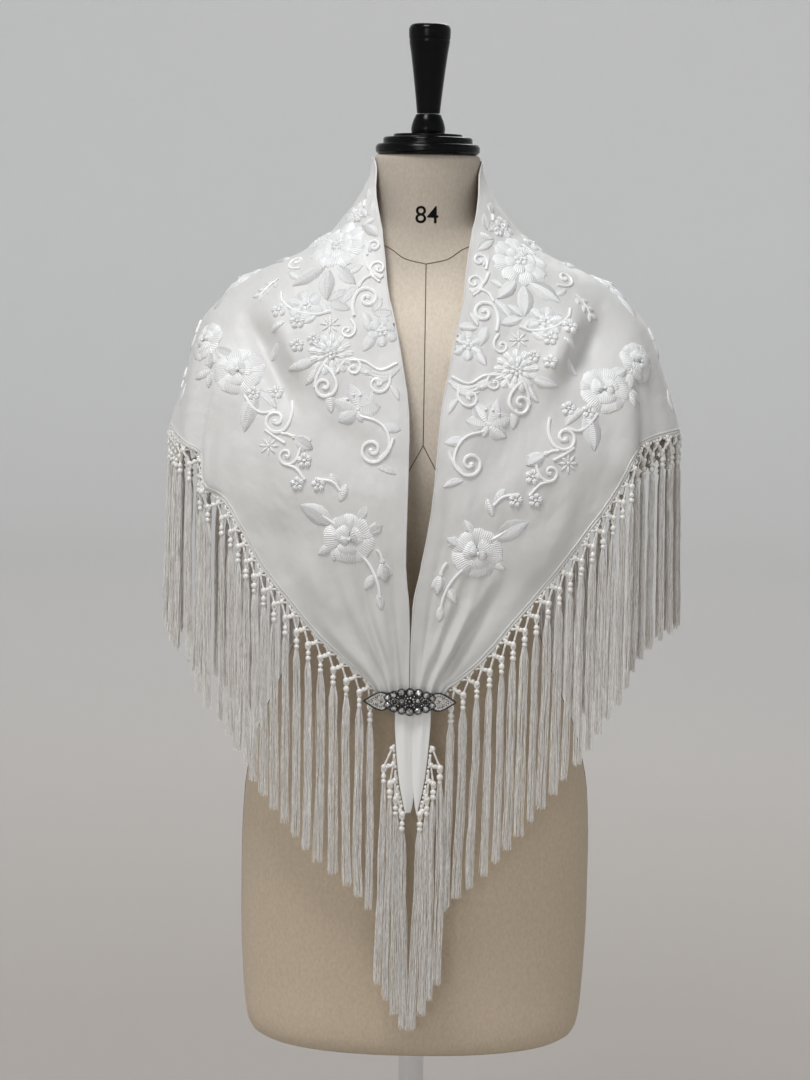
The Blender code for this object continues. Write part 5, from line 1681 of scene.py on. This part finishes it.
class Fringe:
    """Collects the knots, cords and threads of one fringe."""

    def __init__(self, seed):
        self.mesh_data = bmesh.new()
        self.cords = []
        self.threads = []
        self.chance = random.Random(seed)

    def knot(self, place, radius):
        """A squeezed and turned bead."""
        squeeze = Vector([self.chance.uniform(*KNOT_SQUEEZE) for _ in range(3)]) * radius
        spin = Matrix.Rotation(self.chance.uniform(0, WHOLE_TURN), 3, "Z")
        add_copy(self.mesh_data, bead, lambda co: place + spin @ (co * squeeze), CORD_FACES)

    def link(self, start, end, radius, slack=0.0):
        """Two cords twisted together between two knots, which sag and wriggle a little."""
        side = (end - start).cross(DOWN)
        side = side.normalized() if side.length else Vector((1, 0, 0))
        for way in (-1, 1):
            points = []
            wriggle = way * self.chance.uniform(*LINK_WRIGGLE)
            for step in range(LINK_POINTS):
                share = step / (LINK_POINTS - 1)
                sag = slack * 4 * share * (1 - share)
                turn = math.sin(share * 2 * math.pi) * wriggle + way * radius / 2
                points.append(start.lerp(end, share) + DOWN * sag + side * turn)
            thick = [radius * self.chance.uniform(*LINK_THICKNESS) for _ in points]
            self.cords.append(Line(points, thick))

    def tassel(self, top, end, face):
        """Loose silk threads from the last knot to uneven ends."""
        chance = self.chance
        across = face.cross(DOWN).normalized()
        share = np.linspace(0, 1, THREAD_POINTS) ** CLOSER_AT_TOP
        fullness = chance.uniform(*TASSEL_FULLNESS)
        sway = chance.uniform(*TASSEL_SWAY)
        sway_phase = chance.uniform(0, WHOLE_TURN)
        body = np.outer(1 - share, top) + np.outer(share, end)
        body += np.outer(sway * np.sin(share * SWAY_WAVES + sway_phase) * share, across)
        spread = TOP_SPREAD + BELLY_SPREAD * eased(0.0, BELLY_AT, share) + END_SPREAD * share
        loose = eased(0, WAVES_FROM, share)
        for _ in range(THREADS):
            turn, reach = chance.uniform(0, WHOLE_TURN), math.sqrt(chance.random())
            out = TASSEL_HALF_WIDTH * fullness * reach * math.cos(turn)
            deep = TASSEL_HALF_DEPTH * fullness * reach * math.sin(turn)
            waves_across = WAVE_ACROSS * self.wave(share)
            waves_deep = WAVE_DEEP * self.wave(share)
            line = body + np.outer(out * spread + waves_across * loose, across)
            line += np.outer(deep * spread + waves_deep * loose, face)
            line[:, 2] += share * (end - top).length * chance.uniform(*END_UNEVEN)
            self.threads.append(Line(line, THREAD_RADIUS))

    def wave(self, share):
        """A sine along a thread, with its count of waves and its start left to chance."""
        return np.sin(share * self.chance.uniform(*WAVE_COUNT) + self.chance.uniform(0, WHOLE_TURN))

    def finished(self, name, stands_for):
        """One piece with the knots, the net's cords and the threads."""
        add_copy(self.mesh_data, corded(self.cords, 1), material=CORD_FACES)
        add_copy(self.mesh_data, corded(self.threads), material=THREAD_FACES)
        return piece_from(name, self.mesh_data, [net_cord, tassel_silk], [stands_for], 60.0)


print("a knot has", len(bead.polygons), "faces")

# %% [markdown]
# A row of small knots, the picots, lies on the hem, and short cords lead from them to the first
# row of the net. From there glossy cords meet two by two, and under each mesh two stacked ball
# knots hold a tassel. The tassels hang plumb where the hem slopes, so the net is drawn out
# sideways there. The fixed model has a strand for each end of a stretch of the edge, and so the
# stretches here end where those do.

# %% Fringe
TASSELS_A_SIDE = 50
NET_ROWS = 12
CLOTH_WALL = 0.0014
FRINGE_LENGTH = 0.208
SIDE_SPLAY = 0.03
SIDE_SHORTER = 0.10
TAIL_FRINGE_LENGTH = 0.222
TAIL_FRINGE_FROM = 2
TAIL_FRINGE_SEED = 10
TAIL_FRINGE_SLOPE = 0.25
TAIL_REACHES = (0.0079, 0.0032, -0.0006, -0.0043)
PICOT_SHARES = (0.08, 0.36, 0.64, 0.92)
PICOT_OUT = 0.0022
PICOT_RADIUS = 0.0017
PICOT_SIZES = (0.8, 1.15)
FIRST_OUT = 0.0035
FIRST_DROP = 0.0065
MESH_DROP = 0.014
MESH_UPHILL = 0.22
MESH_SAG = 0.0008
KNOT_RADIUS = 0.0028
MESH_KNOT = 1.1
HALFWAY_KNOT = 0.8
CORD_THIN = 0.00100
CORD_THICK = 0.00145
BALL_DROP = 0.0085
BALL_UNEVEN = (-0.0012, 0.0012)
BALL_RADIUS = 0.0029
BALL_SIZES = (0.88, 1.08)
BALL_STEP = 0.0048
TASSEL_TOP = 1.35
TIP_FOLLOWS = 0.6


def laid_flat(way):
    """A direction without its rise."""
    return Vector((way.x, way.y, 0))


def knot_fringe(name, stands_for, edge, away, outward, reaches, length, seed):
    """Knots a fringe along an edge: a tassel under each two of its points, moved out by its reach."""
    work = Fringe(seed)
    chance = work.chance
    places = [Vector(point) for point in edge]
    leaving = [Vector(way).normalized() for way in away]
    firsts = []
    for place, leave in zip(places, leaving):
        firsts.append(place + leave * FIRST_OUT + DOWN * (FIRST_DROP - FIRST_OUT))
        work.knot(firsts[-1], KNOT_RADIUS)
    for j, reach in enumerate(reaches):
        leave = (leaving[j] + leaving[j + 1]) / 2
        for share in PICOT_SHARES:
            picot = places[j].lerp(places[j + 1], share) + leave * PICOT_OUT
            work.knot(picot, PICOT_RADIUS * chance.uniform(*PICOT_SIZES))
            work.link(picot, firsts[j] if share < 0.5 else firsts[j + 1], CORD_THIN)
        face = laid_flat((Vector(outward[j]) + Vector(outward[j + 1])) / 2).normalized()
        lean = DOWN + face * (SIDE_SPLAY * abs(face.x))
        middle = (places[j] + places[j + 1]) / 2
        out = laid_flat(leave) * reach
        low, high = firsts[j + 1], firsts[j]
        if high.z <= low.z:
            low, high = high, low
        slope = min((high.z - low.z) / max((high - low).length, 1e-6), 1.0)
        mesh_knot = low.lerp(high, 0.5 + MESH_UPHILL * slope) + out
        mesh_knot.z = middle.z - MESH_DROP
        work.link(high, mesh_knot, CORD_THIN)
        work.link(low, mesh_knot, CORD_THICK, MESH_SAG)
        work.knot(mesh_knot, KNOT_RADIUS * MESH_KNOT)
        work.knot(low.lerp(mesh_knot, 0.5), KNOT_RADIUS * HALFWAY_KNOT)
        ball = mesh_knot + lean * (BALL_DROP + chance.uniform(*BALL_UNEVEN))
        work.link(mesh_knot, ball, CORD_THICK)
        for count in range(2):
            work.knot(ball + lean * BALL_STEP * count, BALL_RADIUS * chance.uniform(*BALL_SIZES))
        tip = middle + out + lean * length * (1 - SIDE_SHORTER * face.x**2)
        tip.x += (mesh_knot.x - middle.x) * TIP_FOLLOWS
        tip.y += (mesh_knot.y - middle.y) * TIP_FOLLOWS
        work.tassel(ball + lean * BALL_STEP * TASSEL_TOP, tip, face)
    return work.finished(name, stands_for)


net_points, net_normals = cloth_grid(TASSELS_A_SIDE, NET_ROWS)
hem = net_points[:, -1] - net_normals[:, -1] * CLOTH_WALL / 2
hem_away = net_points[:, -1] - net_points[:, -2]
quarter = int(np.argmax(hem[:TASSELS_A_SIDE, 2]))
spans = {
    "front_left": (0, quarter),
    "back_left": (quarter, TASSELS_A_SIDE),
    "back_right": (TASSELS_A_SIDE, 2 * TASSELS_A_SIDE - quarter),
    "front_right": (2 * TASSELS_A_SIDE - quarter, 2 * TASSELS_A_SIDE),
}
for seed, (word, (first, last)) in enumerate(spans.items()):
    part = slice(first, last + 1)
    knot_fringe(
        f"tassels_{word}", f"fringe_{word}", hem[part], hem_away[part], net_normals[part, -1],
        [0.0] * (last - first), FRINGE_LENGTH, seed,
    )
for side, word in ((-1, "left"), (1, "right")):
    tail_edge = np.array([
        (TAIL_X + side * row.outer, -row.depth + TAIL_WALL / 2, row.height)
        for row in TAIL_ROWS[TAIL_FRINGE_FROM:]
    ])
    away = np.tile([side, 0.0, -TAIL_FRINGE_SLOPE], (len(tail_edge), 1))
    outward = np.tile([0.0, -1.0, 0.0], (len(tail_edge), 1))
    knot_fringe(
        f"tassels_end_{word}", f"fringe_tail_{word}", tail_edge, away, outward, TAIL_REACHES,
        TAIL_FRINGE_LENGTH, TAIL_FRINGE_SEED + side,
    )

# %% [markdown]
# The shawl was cut as a triangle 1.40 m long and 0.60 m high, so its flat area is 0.42 square
# metres. It is draped over the form and carries its embroidery, its edges and its fringe.

# %% [markdown]
# The brooch is stamped silver: a pointed oval plate that ends in two leaves. Each leaf has a dark
# rim, a bright wire inside it, a ring of grains and six small stones. A dome of stones in round
# collets covers the middle, with small grains round each, and three larger flowers with dark
# centres sit in a row on it. Stone, collet and grain are each made once here and then repeated.

# %% Shapes of the brooch
BROOCH_X = -0.0080
BROOCH_Z = 0.7745
OVAL_HALF_LENGTH = 0.03825
OVAL_HALF_HEIGHT = 0.00966
POINTEDNESS = 1.35
OVAL_STEPS = 96
LEAF_FOOT = 0.0180
LEAF_TIP = 0.0425
LEAF_MIDDLE = 0.0285
LEAF_HALF_HEIGHT = 0.0084
LEAF_SKEW = 0.6
LEAF_STEPS = 24
COLLET_STEPS = 20
STONE_SIDES = 8
STONE_TABLE = 0.55
STONE_CROWN = 0.50
STONE_EDGE = 0.09
Stone = namedtuple("Stone", "x z radius")
ROUND_STONES = rows_of(Stone, (
    (-0.0150, 0.0062, 0.0036), (-0.0078, 0.0082, 0.0037), (0.0, 0.0088, 0.0038),
    (0.0078, 0.0082, 0.0037), (0.0150, 0.0062, 0.0036),
    (-0.0145, -0.0064, 0.0037), (-0.0074, -0.0084, 0.0035), (0.0, -0.0090, 0.0040),
    (0.0074, -0.0084, 0.0035), (0.0145, -0.0064, 0.0037),
    (-0.0205, 0.0033, 0.0031), (-0.0205, -0.0034, 0.0031),
    (0.0205, 0.0033, 0.0031), (0.0205, -0.0034, 0.0031),
    (-0.0073, 0.0008, 0.0030), (0.0073, 0.0008, 0.0030),
))
FLOWER_STONES = rows_of(Stone, ((-0.0140, 0.0, 0.0018), (0.0, 0.0, 0.0025), (0.0140, 0.0, 0.0018)))
LEAF_STONES = rows_of(Stone, (
    (0.0020, 0.0030, 0.0014), (0.0020, -0.0030, 0.0014), (-0.0025, 0.0, 0.0017),
    (-0.0055, 0.0034, 0.0012), (-0.0055, -0.0034, 0.0012), (0.0060, 0.0, 0.0013),
))
GAP_GRAIN_RADIUS = 0.0009
GAP_GRAINS = rows_of(Stone, ((x, z, GAP_GRAIN_RADIUS) for x, z in (
    (-0.0110, 0.0040), (-0.0040, 0.0050), (0.0040, 0.0050), (0.0110, 0.0040),
    (-0.0108, -0.0038), (-0.0040, -0.0048), (0.0040, -0.0048), (0.0108, -0.0038),
    (-0.0185, 0.0), (0.0185, 0.0),
)))
COLLET_PROFILE = rows_of(ProfilePoint, (
    (0.860, 0.0), (0.903, -0.40), (0.955, -0.46), (1.050, -0.20), (1.050, 0.0),
))


def pointed_oval():
    """Outline of the oval plate, as (x, z)."""
    points = []
    for turn in np.linspace(0, 2 * math.pi, OVAL_STEPS, endpoint=False):
        up = OVAL_HALF_HEIGHT * math.copysign(abs(math.sin(turn)) ** POINTEDNESS, math.sin(turn))
        points.append((BROOCH_X + OVAL_HALF_LENGTH * math.cos(turn), BROOCH_Z + up))
    return points


def leaf_outline(side, share, count=LEAF_STEPS):
    """Outline of the leaf at one end, blunt at its foot and sharp at its tip, as (x, z)."""
    upper = []
    for run in np.linspace(0, 1, count):
        x = LEAF_FOOT + (LEAF_TIP - LEAF_FOOT) * run
        up = LEAF_HALF_HEIGHT * max(math.sin(math.pi * run**LEAF_SKEW), 0.0)
        upper.append((LEAF_MIDDLE + (x - LEAF_MIDDLE) * share, up * share))
    whole = upper + [(x, -up) for x, up in upper[-2:0:-1]]
    return [(BROOCH_X + side * x, BROOCH_Z + up) for x, up in whole]


def circle_of(stone, reach, count, radius):
    """Smaller stones or grains evenly round a stone."""
    turns = [2 * math.pi * number / count for number in range(count)]
    return [Stone(stone.x + reach * math.cos(turn), stone.z + reach * math.sin(turn), radius)
            for turn in turns]


def turned_collet(mesh_data):
    """A collet for a stone of radius 1: a small turned ring, its front towards -Y."""
    line = [(point.radius, point.rise, 0.0) for point in COLLET_PROFILE]
    spun(mesh_data, line, COLLET_STEPS, axis=(0, 1, 0), closed=True)
    bmesh.ops.recalc_face_normals(mesh_data, faces=mesh_data.faces)


def cut_stone(mesh_data):
    """A faceted stone of radius 1: a crown with a flat table, pointing to -Y."""
    forward = Matrix.Rotation(math.pi / 2, 4, "X") @ Matrix.Translation((0, 0, STONE_CROWN / 2))
    bmesh.ops.create_cone(mesh_data, segments=STONE_SIDES, radius1=1.0, radius2=STONE_TABLE,
                          depth=STONE_CROWN, cap_ends=True, matrix=forward)
    bevelled(mesh_data, mesh_data.edges[:], STONE_EDGE, 1)


collet = template(turned_collet)
stone_cut = template(cut_stone)
granule = template(bmesh.ops.create_uvsphere, u_segments=10, v_segments=6, radius=1.0)
dome = template(bmesh.ops.create_uvsphere, u_segments=32, v_segments=16, radius=1.0)
print("a stone has", len(stone_cut.polygons), "faces")

# %% [markdown]
# Every depth here is counted from the front of the fixed model's plate or cluster, so the fine
# brooch fills the same space. Each stone is tilted a little by chance, as stones set by hand are,
# and so they don't all flash at once.

# %% Brooch
BRIGHT = 0
# DULL is the dark finish, partly tarnish and partly painted shadow in the gaps between the stones.
DULL = 1
PLATE_THICKNESS = 0.0012
OVAL_THICKNESS = 0.0006
LeafPlate = namedtuple("LeafPlate", "share thickness material")
LEAF_PLATES = rows_of(LeafPlate, ((1.0, 0.00072, DULL), (0.84, 0.00108, BRIGHT)))
LeafWire = namedtuple("LeafWire", "share radius material")
LEAF_WIRES = rows_of(LeafWire, ((1.0, 0.00065, DULL), (0.86, 0.000455, BRIGHT)))
LEAF_PROUD = 0.0002
LEAF_STONE_SEAT = 0.0003
LEAF_GRAINS_SHARE = 0.62
LEAF_GRAINS = 9
LEAF_GRAIN_SEAT = 0.0001
LEAF_GRAIN_RADIUS = 0.0006
CLUSTER_HALF_LENGTH = 0.0250
CLUSTER_HALF_HEIGHT = 0.0125
DOME_SEAT = 0.0008
DOME_HALF_LENGTH = 0.0230
DOME_HALF_HEIGHT = 0.01075
DOME_BACK = 0.3
DOME_SUNK = 0.0022
DOME_FALL = 0.0011
STONE_SEED = 5
STONE_TILT = 0.24
STONE_IN_COLLET = 0.93
GRAINS_ROUND = 10
GRAIN_REACH = 1.10
GRAIN_RADIUS = 0.00042
FLOWER_SEAT = 0.0008
GLINTS_ROUND = 9
GLINT_REACH = 1.50
GLINT_SHARE = 0.40
GLINT_SEAT = 0.0010
brooch_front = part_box("brooch_plate")[0][1]
cluster_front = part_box("brooch_cluster")[0][1]


class Brooch:
    """Collects the silver setting, the clear stones and the dark ones."""

    def __init__(self):
        self.silver = bmesh.new()
        self.clear = bmesh.new()
        self.dark = bmesh.new()
        self.wires = {BRIGHT: [], DULL: []}
        self.chance = random.Random(STONE_SEED)

    def set_stone(self, stone, front, into, rim=True):
        """A cut stone, a little askew, and the collet round it."""
        place = Vector((BROOCH_X + stone.x, front, BROOCH_Z + stone.z))
        tilt = Matrix.Rotation(self.chance.uniform(-STONE_TILT, STONE_TILT), 3, "X")
        tilt = tilt @ Matrix.Rotation(self.chance.uniform(-STONE_TILT, STONE_TILT), 3, "Z")
        tilt = tilt @ Matrix.Rotation(self.chance.uniform(0, math.pi), 3, "Y")
        if rim:
            add_copy(self.silver, collet, lambda co: place + co * stone.radius, DULL)
        fit = STONE_IN_COLLET if rim else 1.0
        add_copy(into, stone_cut, lambda co: place + tilt @ co * stone.radius * fit)

    def grain(self, stone, front, material=BRIGHT):
        """A small silver ball."""
        place = Vector((BROOCH_X + stone.x, front, BROOCH_Z + stone.z))
        add_copy(self.silver, granule, lambda co: place + co * stone.radius, material)

    def plate(self, outline, back, thickness, material):
        """A flat plate from its outline, raised towards the front."""
        before = len(self.silver.faces)
        face = self.silver.faces.new([self.silver.verts.new((x, back, z)) for x, z in outline])
        made = bmesh.ops.extrude_face_region(self.silver, geom=[face])
        moved = [part for part in made["geom"] if isinstance(part, bmesh.types.BMVert)]
        bmesh.ops.translate(self.silver, verts=moved, vec=(0, -thickness, 0))
        self.silver.faces.ensure_lookup_table()
        for face in self.silver.faces[before:]:
            face.material_index = material

    def add_plates(self):
        """The oval plate, and two plates on each other for each leaf."""
        back = brooch_front + PLATE_THICKNESS
        self.plate(pointed_oval(), back, OVAL_THICKNESS, DULL)
        for side in (-1, 1):
            for leaf_plate in LEAF_PLATES:
                outline = leaf_outline(side, leaf_plate.share)
                self.plate(outline, back, leaf_plate.thickness, leaf_plate.material)
        bmesh.ops.recalc_face_normals(self.silver, faces=self.silver.faces)

    def add_dome(self):
        """The dark dome under the cluster, cut off flat at its back."""
        middle = Vector((BROOCH_X, brooch_front + DOME_SEAT, BROOCH_Z))
        half_depth = middle.y - (cluster_front + DOME_SUNK)
        add_copy(self.silver, dome, lambda co: middle + Vector((
            co.x * DOME_HALF_LENGTH, min(co.y, DOME_BACK) * half_depth, co.z * DOME_HALF_HEIGHT)), DULL)

    def add_leaves(self):
        """The wires, stones and grains of both leaves."""
        front = brooch_front + LEAF_PROUD
        for side in (-1, 1):
            for wire in LEAF_WIRES:
                ring = [(x, front, z) for x, z in leaf_outline(side, wire.share)]
                self.wires[wire.material].append(Line(ring + ring[:1], wire.radius))
            for stone in LEAF_STONES:
                place = Stone(side * (LEAF_MIDDLE + stone.x), stone.z, stone.radius)
                self.set_stone(place, front + LEAF_STONE_SEAT, self.clear)
            for x, z in leaf_outline(side, LEAF_GRAINS_SHARE, LEAF_GRAINS):
                place = Stone(x - BROOCH_X, z - BROOCH_Z, LEAF_GRAIN_RADIUS)
                self.grain(place, front + LEAF_GRAIN_SEAT, DULL)

    def add_cluster(self):
        """The round stones over the dome, the grains between them, and the three flowers."""
        top = cluster_front + DOME_SUNK
        for stone in ROUND_STONES:
            edge = (stone.x / CLUSTER_HALF_LENGTH) ** 2 + (stone.z / CLUSTER_HALF_HEIGHT) ** 2
            front = top + DOME_FALL * min(edge, 1.0)
            self.set_stone(stone, front, self.clear)
            for ball in circle_of(stone, stone.radius * GRAIN_REACH, GRAINS_ROUND, GRAIN_RADIUS):
                self.grain(ball, front)
        for ball in GAP_GRAINS:
            self.grain(ball, top)
        for stone in FLOWER_STONES:
            self.set_stone(stone, cluster_front + FLOWER_SEAT, self.dark)
            glints = circle_of(stone, stone.radius * GLINT_REACH, GLINTS_ROUND, stone.radius * GLINT_SHARE)
            for glint in glints:
                self.set_stone(glint, cluster_front + GLINT_SEAT, self.clear, rim=False)

    def finished(self):
        """The setting, its clear stones and its dark ones."""
        for material, lines in self.wires.items():
            add_copy(self.silver, corded(lines, 1), material=material)
        piece_from("brooch_setting", self.silver, [old_silver, tarnish_and_painted_shadow],
                   ["brooch_plate", "brooch_cluster"], 30.0)
        nodes = ["brooch_stone_left", "brooch_stone_centre", "brooch_stone_right"]
        piece_from("brooch_stones", self.clear, [crystal], nodes, 10.0)
        piece_from("brooch_dark_stones", self.dark, [dark_stone], nodes, 10.0)


brooch = Brooch()
brooch.add_plates()
brooch.add_dome()
brooch.add_leaves()
brooch.add_cluster()
brooch.finished()
